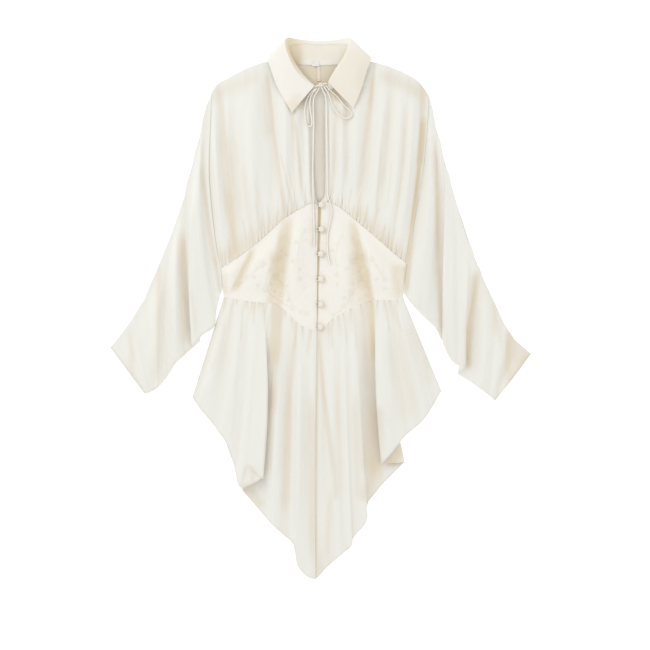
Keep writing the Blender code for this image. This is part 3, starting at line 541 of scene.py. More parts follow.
# The neck ties, tied in a bow: each strand's route from the knot
KNOT_ROUTE = [
    (-10.8, 425.0, 10.4), (-7.0, 427.2, 11.2), (-3.0, 429.0, 12.0),
    (1.0, 430.0, 12.0), (6.0, 431.2, 11.2), (12.6, 432.4, 10.4),
]
TIE_LOOP_RIGHT = [
    (-9.8, 422.4, 11.4), (-17.0, 416.5, 9.6), (-23.0, 408.5, 8.6), (-27.2, 399.0, 8.7),
    (-29.6, 388.0, 9.2), (-30.0, 377.0, 9.9), (-29.2, 366.0, 10.9), (-27.8, 356.0, 11.9),
    (-26.1, 351.3, 12.1), (-22.1, 349.6, 12.0), (-18.1, 351.3, 11.7), (-16.4, 356.0, 11.4),
    (-17.2, 366.0, 10.8), (-19.0, 377.0, 10.1), (-20.4, 388.0, 9.4), (-20.2, 400.0, 8.9),
    (-17.6, 409.5, 8.8), (-13.0, 416.5, 10.0), (-7.4, 422.8, 11.4),
]
TIE_TAIL_RIGHT = [
    (-2.4, 424.4, 10.8), (-6.6, 416.0, 9.6), (-11.3, 408.5, 8.7), (-13.6, 397.0, 8.8),
    (-13.8, 382.0, 9.3), (-13.0, 362.0, 10.0), (-13.4, 330.0, 10.6), (-14.0, 300.0, 11.1),
    (-14.7, 270.0, 11.3), (-14.5, 240.0, 10.5), (-14.0, 212.0, 9.5), (-13.2, 188.0, 9.5),
    (-12.4, 166.0, 9.8), (-12.0, 146.0, 10.2), (-12.4, 121.0, 10.8),
]
TIE_LOOP_LEFT = [
    (9.8, 428.6, 11.4), (16.5, 421.5, 9.8), (24.0, 415.0, 8.2), (30.8, 408.8, 8.0),
    (37.0, 401.5, 8.8), (43.0, 393.6, 9.4), (50.0, 386.0, 9.6), (57.0, 379.4, 10.8),
    (60.6, 373.4, 11.8), (57.0, 368.0, 11.6), (48.0, 366.0, 11.4), (39.5, 369.6, 12.0),
    (31.0, 377.0, 11.2), (24.8, 386.0, 9.8), (20.8, 396.0, 8.6), (18.6, 404.0, 8.6),
    (15.6, 411.5, 8.6), (11.4, 419.0, 10.2), (6.2, 427.0, 11.2),
]
TIE_TAIL_LEFT = [
    (1.6, 425.2, 10.8), (5.0, 418.0, 9.6), (8.5, 411.0, 8.8), (10.6, 401.0, 8.8),
    (11.3, 385.0, 9.6), (11.5, 365.0, 10.4), (11.7, 343.0, 11.4), (12.1, 305.0, 12.1),
    (12.5, 267.0, 11.9), (12.9, 234.0, 10.4), (14.6, 214.0, 9.6), (20.0, 197.0, 9.9),
    (20.4, 180.0, 10.7), (17.0, 161.0, 11.4), (13.6, 141.0, 12.3), (13.0, 119.0, 12.8),
    (14.8, 101.0, 13.2), (17.9, 86.4, 13.7),
]

# Small folds gathered into a seam: which side of the piece, from which x to which x, how far apart,
# how deep and how far they run out from the seam
Gather = namedtuple("Gather", "side start end pitch depth reach")

GATHERS = by_piece(Gather, {
    "bodice_front_right": [("hem", -188, -16, 5.4, 2.2, 62)],
    "bodice_front_left": [("hem", 14, 164, 4.8, 2.4, 52)],
    "bodice_back": [("hem", -180, 158, 11, 0.5, 70)],
    "skirt_front_right": [("top", -182, -10, 13, 1.3, 60)],
    "skirt_front_left": [("top", 0, 154, 12, 1.3, 60)],
    "skirt_back": [("top", -180, 152, 11, 0.5, 60)],
})

# Soft creases placed one by one, from one end to the other, with the sideways bow of the middle, half
# the width, and the depth, below zero for a ridge
Crease = namedtuple("Crease", "x0 y0 x1 y1 bow width depth")

CREASES = by_piece(Crease, {
    "bodice_front_right": [
        (-166, 338, -160, 258, 2, 5, 1.3), (-143, 400, -132, 282, 4, 7, -1.1),
        (-121, 436, -116, 330, 3, 6, 1.2), (-126, 300, -112, 168, 2, 6, 1.4),
        (-40, 324, -34, 216, 0, 5, 1.6), (-66, 360, -60, 250, 3, 5, 1), (-92, 262, -82, 182, 0, 5, -1.2),
        (-186, 262, -176, 150, 3, 6, 1.2), (-22, 380, -20, 300, 0, 3, 0.9),
    ],
    "bodice_front_left": [
        (120, 286, 122, 226, 0, 5, 1.4), (108, 440, 101, 348, -3, 6, 1.3),
        (132, 430, 122, 338, -3, 6, -1.1), (146, 352, 136, 214, -3, 6, 1.3),
        (60, 340, 50, 232, -2, 5, 1.4), (30, 330, 26, 236, 0, 4, 1.2), (86, 300, 76, 196, -2, 5, -1.2),
        (168, 330, 156, 180, -4, 5, 1),
    ],
    "sleeve_front_right": [
        (-217, 402, -220, 262, -2, 4, -0.9), (-224, 350, -224, 214, -3, 4, 0.9),
        (-240, 214, -234, 96, -3, 5, 1.1), (-296, 96, -290, -40, -4, 6, 1.2),
        (-331, 6, -318, -96, -3, 6, 1), (-362, -30, -345, -138, -3, 7, 1.4),
        (-268, 40, -258, -58, 2, 5, -1), (-384, -62, -352, -130, -2, 5, 0.9),
        (-263, 215, -259, -90, -6, 9, -3.6),
    ],
    "sleeve_front_left": [
        (262, 300, 249, 258, 0, 4, 1.1), (276, 262, 262, 214, 0, 4, 1.2), (290, 216, 276, 170, 2, 4, 1.1),
        (318, 150, 300, 96, 2, 5, 1.2), (232, 330, 226, 200, -3, 4, -0.9),
        (252, 140, 248, 20, -2, 5, 1.3), (268, 120, 262, -20, -2, 5, -1), (352, 10, 324, -110, 3, 6, 1.2),
        (376, -40, 346, -130, 2, 5, -0.9), (365, -48, 360, -132, 0, 7, 2.2),
    ],
    "waist_front_right": [
        (-150, 92, -176, 40, 3, 6, 1.4), (-44, 182, -58, 90, 4, 6, 1.2), (-28, 120, -30, 10, 2, 7, 0.9),
        (-132, 102, -140, 30, 2, 7, -0.9),
    ],
    "waist_front_left": [
        (46, 176, 56, 92, -3, 6, 1.2), (26, 130, 24, 12, -2, 7, 0.9), (112, 120, 122, 30, -2, 7, -0.9),
        (140, 92, 146, 34, 0, 5, 1.3),
    ],
    "skirt_front_right": [
        (-190, -30, -206, -150, 2, 7, -1), (-152, -40, -166, -190, 2, 6, 1.3),
        (-78, -60, -90, -250, 0, 6, -1), (-46, -70, -52, -230, 2, 5, 1.2),
        (-30, -200, -32, -420, 1, 6, 1), (-128, -130, -140, -280, 0, 6, 1.1),
        (-84, -300, -84, -404, 0, 6, 1.2), (-84, 60, -112, -420, 0, 12, -4.6),
        (-149, -342, -112, -323, 0, 3.4, -1.6), (-141, -300, -152, -338, 0, 2.6, 1.3),
        (-136, -302, -110, -326, 0, 2.4, 1.4),
    ],
    "skirt_front_left": [
        (14, -50, 26, -200, 0, 5, 1.3), (44, -60, 52, -260, 2, 6, -1), (128, -40, 150, -180, 2, 6, 1.2),
        (160, -50, 190, -160, 2, 7, -1), (60, -180, 72, -360, 0, 6, 1.1), (30, -300, 30, -440, 0, 6, 1.2),
        (118, -120, 128, -240, 0, 5, 1),
    ],
    "bodice_back": [
        (-150, 400, -140, 210, 4, 8, -0.6), (-88, 430, -80, 220, 0, 9, -0.6),
        (70, 420, 66, 250, 0, 8, -0.6), (140, 390, 126, 200, -4, 8, -0.6), (-3, 462, -3, 250, 0, 4, -0.5),
    ],
    "waist_back": [
        (-110, 110, -122, 30, 2, 9, -0.5), (96, 120, 104, 30, -2, 9, -0.5),
        (-20, 160, -22, 10, 0, 9, -0.4),
    ],
    "skirt_back": [
        (-140, -10, -170, -220, 3, 9, -0.6), (-70, -30, -84, -380, 0, 10, -0.6),
        (30, -50, 40, -440, 0, 10, -0.6), (110, -10, 140, -240, -3, 9, -0.6),
    ],
    "sleeve_back_right": [
        (-226, 340, -224, 60, -5, 7, -0.6), (-262, 210, -256, -40, -4, 7, -0.6),
        (-320, 40, -310, -120, -3, 8, -0.6),
    ],
    "sleeve_back_left": [
        (224, 330, 220, 40, 5, 7, -0.6), (276, 140, 264, -60, 4, 7, -0.6),
        (330, 0, 312, -130, 3, 8, -0.6),
    ],
})

# Long places of painted shade in the troughs of folds and beside overlapping edges, which also
# stands in for the deeper tone where sheer layers lie over each other, from one end to the other,
# with the sideways bow of the middle, half the width, and the strength; edge is 1 where the side to
# the left of the run is sharp, -1 where the other one is, and 2 where both are
ShadeBand = namedtuple("ShadeBand", "x0 y0 x1 y1 bow width strength edge", defaults=(0,))

BANDS = by_piece(ShadeBand, {
    "bodice_front_right": [
        (-197, 432, -181, 300, 1.9, 6.1, 0.42), (-181, 324, -165, 98, 1.9, 7.3, 0.5),
        (-176, 228, -162, 90, 0, 11.5, 0.3), (-104, 455, -92, 334, 1.9, 4.2, 0.5, 1),
        (-93, 353, -67, 180, 0, 4.6, 0.42, 1), (-112, 440, -101, 324, 0, 7.7, 0.25),
        (-78, 305, -55, 198, 0, 2.1, 0.4), (-49, 367, -33, 204, 0, 2.7, 0.45, 1),
        (-66, 286, -45, 194, 0, 1.9, 0.25), (-149, 276, -135, 159, 0, 5.8, 0.16),
        (-126, 248, -112, 148, 0, 3.8, 0.16), (-193, 90, -43, 196, 0, 19.2, 0.34),
        (-197, 90, -155, 121, 0, 11.5, 0.25), (-59, 374, -28, 415, 0, 6.9, 0.5),
        (-22, 405, -18, 209, 0, 2.3, 0.25), (-220, 404, -110, 450, 0, 13, 0.24),
        (-172, 167, -162, 111, 0, 2.3, 0.34), (-149, 175, -141, 127, 0, 1.7, 0.36),
        (-124, 205, -116, 146, 0, 2.3, 0.32), (-103, 202, -97, 161, 0, 1.7, 0.36),
        (-76, 232, -70, 180, 0, 2.3, 0.34), (-60, 228, -51, 194, 0, 1.7, 0.36),
    ],
    "bodice_front_left": [
        (81, 432, 68, 390, 0, 5.8, 0.5), (101, 451, 89, 359, 1.9, 5, 0.45),
        (91, 372, 72, 217, 1.9, 5.4, 0.4), (116, 324, 106, 171, 0, 2.5, 0.3),
        (137, 286, 128, 194, 0, 2.3, 0.25), (49, 305, 39, 198, 0, 2.3, 0.12),
        (26, 363, 22, 209, 0, 3.1, 0.2), (153, 228, 137, 140, 0, 2.9, 0.25),
        (160, 401, 158, 267, 0, 4.8, 0.12), (195, 440, 197, 353, 0, 6.9, 0.45),
        (197, 367, 189, 271, 1, 6.5, 0.95, 2), (191, 286, 174, 140, 0, 4.2, 0.95, 2),
        (175, 156, 162, 79, 0, 2.7, 0.9, 2), (20, 420, 49, 394, 0, 6.7, 0.55),
        (57, 196, 160, 94, 0, 17.3, 0.42), (110, 453, 214, 405, 0, 15.4, 0.4),
        (105, 480, 94, 386, 0, 3.5, 0.6), (60, 232, 51, 186, 0, 1.9, 0.34),
        (78, 225, 68, 173, 0, 2.3, 0.4), (91, 202, 84, 159, 0, 1.7, 0.36),
        (112, 198, 99, 146, 0, 2.5, 0.34), (126, 163, 116, 129, 0, 1.9, 0.42),
        (145, 156, 132, 111, 0, 2.3, 0.36),
    ],
    "sleeve_front_right": [
        (-229, 276, -201, 79, -1.9, 5, 0.45, 1), (-204, 104, -193, 29, 0, 4.2, 0.5, 1),
        (-218, 420, -226, 228, -2.9, 4.8, 0.25), (-267, 150, -256, -70, -1.9, 8.4, 0.58, 1),
        (-310, 90, -314, -152, 0, 8.1, 0.38), (-364, -31, -360, -152, 0, 6.7, 0.25),
        (-247, 36, -237, -52, 0, 4.8, 0.2), (-287, -113, -239, -65, 0, 4.8, 0.3),
    ],
    "sleeve_front_left": [
        (219, 321, 227, 73, 1, 5.4, 0.62), (227, 90, 232, -50, 0, 5, 0.65),
        (299, 75, 285, -50, 0, 8.8, 0.66), (286, -31, 282, -117, 0, 8.1, 0.7),
        (366, -40, 364, -150, 0, 12, 0.4), (398, -83, 360, -152, 0, 5.8, 0.5),
        (329, 17, 345, -69, 0, 5.8, 0.2), (362, -36, 358, -129, 0, 6, 0.4, -1),
        (168, 136, 164, 29, 0, 6.5, 0.6), (314, 104, 337, -50, 0, 15.4, 0.18),
        (178, 148, 166, 36, 0, 3.8, 0.35), (258, 305, 295, 209, 0, 3.8, 0.15),
    ],
    "waist_front_right": [
        (-127, 117, -168, 32, 0, 7, 0.72, -1), (-63, 177, -84, 83, 1.5, 10.6, 0.55, -1),
        (-55, 173, -66, 90, 0, 5.8, 0.25, 1), (-69, 152, -86, 33, 1.2, 13.8, 0.42, 2),
        (-80, 113, -90, -6, 1, 17.3, 0.62, 2), (-181, 71, -181, 25, 0, 4.8, 0.3),
        (-22, 182, -16, 113, 0, 3.8, 0.25),
    ],
    "waist_front_left": [
        (59, 173, 78, 86, 0, 8.6, 0.5, 1), (63, 152, 84, 33, 0, 12.3, 0.42, 1),
        (71, 113, 91, -6, 0, 17.3, 0.55, 1), (87, 75, 98, 0, 0, 7, 0.55, 1),
        (62, 113, 59, -2, 0, 6.7, 0.3), (160, 86, 166, 25, 0, 5.8, 0.7),
        (146, 90, 149, 17, 0, 10.6, 0.55),
    ],
    "skirt_front_right": [
        (-79, 29, -90, -110, -0.5, 11.5, 0.62, 2), (-82, -50, -94, -200, -0.5, 10, 0.36, 2),
        (-90, -140, -102, -325, -1, 9, 0.36, 2), (-140, -296, -154, -342, 0, 4.2, 0.26),
        (-134, -298, -127, -340, 0, 5.2, 0.3), (-140, -298, -108, -330, 0, 2.9, 0.24),
        (-45, -17, -51, -79, 0, 3.5, 0.45), (-50, -63, -62, -198, 0, 5.4, 0.36),
        (-61, -167, -70, -396, 0, 8.8, 0.42), (-32, -92, -36, -290, 0, 4.2, 0.1),
        (-18, -156, -16, -486, 0, 8.6, 0.35), (-147, -332, -112, -382, 0, 9.6, 0.4),
        (-183, -21, -208, -121, 0, 5.8, 0.15), (-170, 12, -178, -44, 0, 1.9, 0.34),
        (-149, 10, -153, -67, 0, 2.5, 0.3), (-126, 12, -128, -33, 0, 1.9, 0.34),
        (-22, -38, -26, -90, 0, 2.1, 0.34),
    ],
    "skirt_front_left": [
        (89, 25, 93, -175, 0, 14.6, 0.5, 1), (98, 25, 100, -100, 0, 5, 0.6, 1),
        (110, -184, 103, -328, 0, 13.4, 0.5), (93, -159, 91, -317, 0, 15.4, 0.55, 1),
        (162, -33, 170, -221, 0, 30.7, 0.18), (-36, -405, -1, -516, 0, 19.2, 0.45),
        (-4, -48, 7, -182, 0, 4.2, 0.6), (6, -163, 26, -309, 0, 5.8, 0.45),
        (24, -294, 30, -367, 0, 5.8, 0.3), (-6, -79, -9, -482, 0, 3.1, 0.5),
        (20, -348, 11, -486, 0, 5.8, 0.3), (37, -40, 34, -252, 0, 3.8, 0.15),
        (66, -156, 72, -367, 0, 5.8, 0.22), (170, -254, 131, -301, 0, 11, 0.85, -1),
        (112, -285, 84, -371, 0, 15.4, 0.5), (187, -40, 214, -146, 0, 6.7, 0.2),
        (20, -33, 24, -79, 0, 1.9, 0.34), (45, -8, 51, -71, 0, 2.3, 0.36), (64, 4, 70, -83, 0, 2.7, 0.3),
        (126, 15, 132, -48, 0, 1.9, 0.34), (141, 15, 155, -44, 0, 2.3, 0.3),
    ],
})

# Oval places that lie in the shade of the layers round them
Spot = namedtuple("Spot", "x y across down strength")

SPOTS = by_piece(Spot, {
    "bodice_back": [(-3, 450, 60, 34, 0.75), (-4, 300, 16, 150, 0.4)],
    "waist_back": [(-5, 80, 14, 150, 1)],
    "collar_stand": [
        (-62, 480, 34, 60, 0.95), (-48, 440, 20, 30, 0.6), (50, 478, 14, 40, 0.25), (0, 498, 66, 24, 0.3),
    ],
    "collar_fall": [
        (62, 440, 62, 78, 0.36), (-54, 384, 20, 18, 0.3), (86, 440, 20, 40, 0.25),
        (-45, 392, 20, 24, 0.3),
    ],
    "bodice_front_right": [(-40, 400, 22, 18, 0.4)],
    "bodice_front_left": [(30, 414, 16, 16, 0.7), (46, 372, 16, 22, 0.25)],
    "sleeve_front_left": [(384, -74, 28, 40, 0.36)],
    "skirt_back": [(140, -280, 30, 46, 0.7)],
})

# Raised flowers, leaves and stems on the waist panel
Flower = namedtuple("Flower", "x y size turn")
Leaf = namedtuple("Leaf", "x y size turn")
Stem = namedtuple("Stem", "x0 y0 x1 y1 x2 y2")

FLOWERS = by_piece(Flower, {
    "waist_front_right": [
        (-110, 86, 11, 0.2), (-87, 62, 13, 0.9), (-106, 38, 11, 0.5), (-75, 28, 9, 0.1),
        (-64, 106, 9, 0.7), (-128, 62, 8, 0.3), (-54, 2, 9, 0.4), (-40, 58, 8, 0.8),
        (-155, 48, 8, 0.6), (-30, 150, 8, 0.2), (-26, -8, 7, 0.5), (-46, 128, 7, 0.4),
    ],
    "waist_front_left": [
        (62, 92, 11, 0.5), (76, 60, 13, 0.2), (58, 32, 11, 0.8), (90, 28, 9, 0.4),
        (44, 6, 9, 0.1), (98, 96, 9, 0.6), (32, 66, 8, 0.3), (122, 56, 8, 0.7),
        (40, 140, 7, 0.4), (24, -10, 7, 0.2), (22, 112, 7, 0.9),
    ],
})
LEAVES = by_piece(Leaf, {
    "waist_front_right": [
        (-122, 78, 9, 0.6), (-98, 76, 8, 2.4), (-72, 74, 9, 0.9), (-96, 48, 8, 2), (-120, 46, 8, 2.8),
        (-88, 34, 8, 0.3), (-62, 18, 8, 1), (-52, 92, 8, 0.8), (-76, 112, 7, 2.2), (-40, 76, 7, 1.7),
        (-64, 44, 7, 0.4), (-140, 62, 7, 0.2), (-38, -6, 7, 2.6), (-32, 40, 6, 1.2), (-28, 132, 6, 1.8),
        (-90, 94, 6, 1.3),
    ],
    "waist_front_left": [
        (74, 80, 9, 2.5), (50, 78, 8, 0.8), (90, 74, 8, 0.6), (62, 48, 8, 2), (84, 44, 8, 2.7),
        (46, 22, 8, 1.2), (74, 18, 8, 0.3), (32, 84, 7, 1.5), (106, 84, 7, 2.2), (108, 58, 7, 0.2),
        (36, -4, 7, 0.9), (32, 48, 6, 2.1), (34, 124, 6, 1.1), (80, 104, 6, 1.7), (122, 40, 6, 0.5),
    ],
})
STEMS = by_piece(Stem, {
    "waist_front_right": [
        (-64, 110, -112, 84, -104, 34), (-88, 64, -60, 40, -54, 0), (-30, 154, -52, 110, -40, 56),
        (-158, 44, -130, 70, -108, 88), (-104, 36, -84, 16, -54, 2),
    ],
    "waist_front_left": [
        (62, 96, 88, 64, 58, 28), (78, 60, 100, 40, 90, 26), (40, 142, 22, 100, 34, 62),
        (124, 56, 106, 84, 96, 98), (58, 30, 54, 8, 24, -12),
    ],
})


def eased(t, start, end, leaving, arriving):
    """A smooth curve from start to end, with its direction at both, read at t from 0 to 1."""
    point = (1 + 2 * t) * (1 - t) ** 2 * start + t * t * (3 - 2 * t) * end
    return point + (t * (1 - t) ** 2 * leaving - t * t * (1 - t) * arriving)


def step(x, low, high):
    """A smooth step of x, from 0 at low to 1 at high."""
    t = np.clip((x - low) / (high - low), 0, 1)
    return t * t * (3 - 2 * t)


def up_and_down(x, low, full, fading, high):
    """A smooth share of x that rises from 0 to 1, stays there and falls back."""
    return step(x, low, full) * (1 - step(x, fading, high))


def hermite(xs, ys, x):
    """A smooth curve through (xs, ys), read at x, with xs rising."""
    xs = np.asarray(xs, float)
    ys = np.asarray(ys, float)
    slopes = np.gradient(ys, xs)
    i = np.clip(np.searchsorted(xs, x) - 1, 0, len(xs) - 2)
    span = xs[i + 1] - xs[i]
    return eased((x - xs[i]) / span, ys[i], ys[i + 1], span * slopes[i], span * slopes[i + 1])


def run_lengths(points, axis=0):
    """How far each point lies along its line of points, from the line's first one."""
    steps = np.linalg.norm(np.diff(points, axis=axis), axis=-1)
    return np.cumsum(np.insert(steps, 0, 0, axis=axis), axis=axis)


def unit(vectors):
    """Directions with a length of 1."""
    return vectors / np.linalg.norm(vectors, axis=-1, keepdims=True)


def seam_at(seam, along, value):
    """The seam's (x, y, rise) where its coordinate "x" or "y" has the value."""
    points = sorted(seam, key=lambda point: getattr(point, along))
    places = [getattr(point, along) for point in points]
    return np.stack([hermite(places, column, value) for column in zip(*points)], axis=-1)


def seam_line(seam, y_top, y_hem, shares, shift):
    """Points down an armhole seam, shifted sideways by a little."""
    line = seam_at(seam, "y", y_top + (y_hem - y_top) * shares) * MM
    line[:, 0] += shift
    return line


def fold_end(seam, x, y, rise):
    """The end of a fold line, which takes its place and height from a seam where it has one."""
    return seam_at(seam, "x", x) if seam else np.array([x, y, rise], float)


def fold_line(fold, shares, top_seam, hem_seam):
    """Points down one fold line."""
    top = fold_end(top_seam, fold.top_x, fold.top_y, fold.rise_top)
    hem = fold_end(hem_seam, fold.hem_x, fold.hem_y, fold.rise_hem)
    line = top + (hem - top) * shares[:, None]
    line[:, 0] += fold.bow * np.sin(np.pi * shares)
    near_top = 0.5 + 0.5 * np.cos(np.pi * np.minimum(shares / RISE_SHARE, 1))
    near_hem = 0.5 + 0.5 * np.cos(np.pi * np.minimum((1 - shares) / RISE_SHARE, 1))
    line[:, 2] = fold.rise_mid + (top[2] - fold.rise_mid) * near_top
    line[:, 2] += (hem[2] - fold.rise_mid) * near_hem
    return line * MM


def turned_edge(line, before, after, shares):
    """The upper and the lower line of a rounded edge, in the order that the cloth runs."""
    grown = np.minimum(shares / RISE_SHARE, 1)[:, None]
    down = line[1] - line[0]
    aside = np.array([-down[1], down[0], 0]) / np.hypot(down[0], down[1]) * LIP_WIDTH * MM
    aside *= np.sign(aside @ (after[0] - before[0]))
    upwards = np.array([0, 0, LIP_HEIGHT * MM]) * np.sign(before[-1, 2] - after[-1, 2])
    half = upwards * grown - aside * (1 - grown)
    return [line + half, line - half]


def fold_lines(folds, shares, top_seam=None, hem_seam=None):
    """The points of all fold lines of a panel, with a pair of lines where the cloth turns over."""
    lines = [fold_line(fold, shares, top_seam, hem_seam) for fold in folds]
    made = []
    for i, fold in enumerate(folds):
        if fold.name in TURNED:
            made += turned_edge(lines[i], lines[i - 1], lines[i + 1], shares)
        else:
            made.append(lines[i])
    return made


def spacing(start, end):
    """The square root of the distance between two lines at each row, for an even curve."""
    return np.sqrt(np.linalg.norm(end - start, axis=1) + 0.01 * MM)[:, None]


def slope(before, here, after, span):
    """The direction of the curve at a line, scaled to the span it is used on."""
    d0 = spacing(before, here)
    d1 = spacing(here, after)
    return span * ((here - before) / d0 - (after - before) / (d0 + d1) + (after - here) / d1)


def loft(lines, pitch):
    """A smooth surface across neighbouring lines, level at its two sides: across, down, xyz."""
    lines = np.array(lines)
    first = 2 * lines[0] - lines[1]
    last = 2 * lines[-1] - lines[-2]
    first[:, 2] = lines[1, :, 2]
    last[:, 2] = lines[-2, :, 2]
    padded = np.concatenate([[first], lines, [last]])
    surface = []
    for i in range(1, len(lines)):
        before, start, end, after = padded[i - 1:i + 3]
        span = spacing(start, end)
        leaving = slope(before, start, end, span)
        arriving = slope(start, end, after, span)
        steps = max(4, math.ceil(np.linalg.norm(end - start, axis=1).mean() / pitch))
        surface += [eased(t, start, end, leaving, arriving) for t in np.arange(steps) / steps]
    return np.array(surface + [lines[-1]])


def grid_shares(length, pitch):
    """Shares of a length, from 0 to 1, at an even pitch with extra rows near both ends."""
    edge = np.array(EDGE_ROWS) * MM / length
    inner = np.linspace(edge[-1], 1 - edge[-1], max(int(length / pitch), 2) + 1)[1:-1]
    return np.concatenate([edge, inner, 1 - edge[::-1]])


def drawn_to_seam(surface, shares, seam, from_top, fade):
    """Draws a panel's rows near a waist seam to the seam's exact line."""
    end = 0 if from_top else -1
    weight = np.clip(1 - (shares if from_top else 1 - shares) / fade, 0, 1)
    target = seam_at(seam, "x", surface[:, end, 0] / MM) * MM
    target[:, 1] += (SEAM_OVERLAP if from_top else -SEAM_OVERLAP) * MM
    change = target - surface[:, end]
    return surface + change[:, None, :] * weight[None, :, None]


def grid_normals(points):
    """The normals of a grid of points, at their own lengths."""
    return np.cross(np.gradient(points, axis=0), np.gradient(points, axis=1))


class Cloth:
    """A piece of cloth as a grid of points, with its sewing and creases worked into it."""

    def __init__(self, points):
        self.points = points
        self.measure()
        self.hem = np.full(points.shape[:2], 1.0)
        self.along, self.figure, self.bed, self.shade = np.zeros((4, *points.shape[:2]))

    def measure(self):
        """Distances along the cloth from its first column and from its top row, and its normals."""
        self.across = run_lengths(self.points, axis=0)
        self.down = run_lengths(self.points, axis=1)
        normal = grid_normals(self.points)
        normal /= np.linalg.norm(normal, axis=2, keepdims=True) + 1e-12
        self.normal = normal * (1 if normal[:, :, 2].mean() > 0 else -1)

    def plan(self):
        """Each point's x and y, in millimetres."""
        return self.points[:, :, 0] / MM, self.points[:, :, 1] / MM

    def move(self, relief):
        """Moves the cloth out along its normals by so many metres."""
        self.points = self.points + self.normal * relief[:, :, None]

    def distance(self, side):
        """How far each point is from one side of the piece, along the cloth, in metres."""
        if side == "first":
            return self.across
        if side == "last":
            return self.across[-1:] - self.across
        if side == "top":
            return self.down
        return self.down[:, -1:] - self.down

    def near(self, side, low, high):
        """A share that is 1 along one side and falls to 0 between two distances from it."""
        return 1 - step(self.distance(side) / MM, low, high)

    def gather(self, row, seed):
        """Uneven small folds that run out from a gathered seam."""
        draw = random.Random(seed)
        away = self.distance(row.side) / MM
        foot = self.points[:, 0 if row.side == "top" else -1, 0][:, None] / MM
        relief = np.zeros(self.points.shape[:2])
        place = row.start
        while place < row.end:
            width = row.pitch * draw.uniform(*GATHER_WIDTH)
            reach = row.reach * draw.uniform(*GATHER_REACH) ** GATHER_SHORTNESS * GATHER_LONGEST
            depth = row.depth * draw.uniform(*GATHER_DEPTH)
            lean = draw.uniform(*GATHER_LEAN)
            spread = width * (1 + away / reach)
            fade = np.clip(1 - away / reach, 0, 1) ** GATHER_FADE
            fold = fade * np.exp(-((foot - place - lean * away) / spread) ** 2)
            relief -= depth * fold
            self.darken(GATHER_SHADE * fold)
            place += row.pitch * draw.uniform(*GATHER_STEP)
        past, into = GATHER_ENDS
        inside = step(foot, row.start - past, row.start + into)
        inside = inside * step(-foot, -row.end - past, -row.end + into)
        relief += GATHER_SWELL * row.depth * inside * np.clip(1 - away / row.reach, 0, 1) ** 2
        self.move(relief * MM)

    def beside(self, row):
        """Each point's place along a bowed line, from 0 to 1, and its distance to one side of it."""
        x, y = self.plan()
        run = np.array([row.x1 - row.x0, row.y1 - row.y0], float)
        length = np.hypot(*run)
        run /= length
        t = ((x - row.x0) * run[0] + (y - row.y0) * run[1]) / length
        aside = (y - row.y0) * run[0] - (x - row.x0) * run[1]
        inside = np.clip(t, 0, 1)
        return t, aside - row.bow * 4 * inside * (1 - inside)

    def crease(self, row):
        """One soft trough, or ridge where its depth is below zero, from one place to another."""
        t, aside = self.beside(row)
        taper = step(t, *CREASE_START) * step(1 - t, *CREASE_END)
        self.move(-row.depth * MM * taper * np.exp(-(aside / row.width) ** 2))

    def turned_hem(self, side, width=HEM_WIDTH, shade=0.0):
        """A narrow hem turned under on one side: a thicker band with a stitched edge, and painted shade
        along its outer edge.
        """
        self.move(HEM_RISE * MM * self.near(side, width - HEM_FALL[0], width + HEM_FALL[1]))
        away = self.distance(side)
        along = self.down if side in ("first", "last") else self.across
        self.along = np.where(away < self.hem, along, self.along)
        self.hem = np.minimum(self.hem, away)
        self.darken(shade * self.near(side, *HEM_SHADE_REACH))

    def darken(self, share):
        """Deepens the shade by a share of what is still light."""
        self.shade += share * np.maximum(1 - self.shade, 0)

    def seam_groove(self, side, depth=SEAM_DROP):
        """The dip where the cloth turns down into a seam, beside the swell of its allowance."""
        away = self.distance(side) / MM
        allowance = up_and_down(away, *SEAM_ALLOWANCE)
        self.move((SEAM_SWELL * allowance - depth * np.exp(-(away / SEAM_DIP) ** 2)) * MM)

    def lower_edge(self, side, height, width=5.0):
        """Brings an edge down to a height, where it meets the layer below it."""
        z = self.points[:, :, 2]
        z += (np.minimum(z, height * MM) - z) * self.near(side, 0, width)

    def shade_hollows(self, reach, depth, share):
        """Marks painted shade where the cloth lies lower than the cloth within reach of it, across the
        folds.
        """
        z = self.points[:, :, 2]
        gap = np.gradient(self.across, axis=0)
        marked = np.zeros(z.shape)
        for j in range(z.shape[1]):
            s = self.across[:, j] / (reach * MM)
            weight = np.exp(-0.5 * (s[:, None] - s[None, :]) ** 2) * gap[None, :, j]
            mean = weight @ z[:, j] / weight.sum(axis=1)
            marked[:, j] = share * np.clip((mean - z[:, j]) / (depth * MM), 0, 1)
        self.darken(marked)

    def paint_band_shade(self, row):
        """Marks painted shade along one long place, fading out to its sides and its ends."""
        t, aside = self.beside(row)
        ends = step(t, *BAND_ENDS) * step(1 - t, *BAND_ENDS)
        sharp = (aside * row.edge > 0) | (row.edge == 2)
        power = np.where(sharp, SHARP_SIDE, SOFT_SIDE)
        self.darken(row.strength * ends * np.exp(-np.abs(aside / row.width) ** power))

    def mark(self, row):
        """Marks one oval place as deeper, where the photograph shows it shaded."""
        x, y = self.plan()
        away = np.hypot((x - row.x) / row.across, (y - row.y) / row.down)
        self.darken(row.strength * (1 - step(away, *SPOT_RIM)))


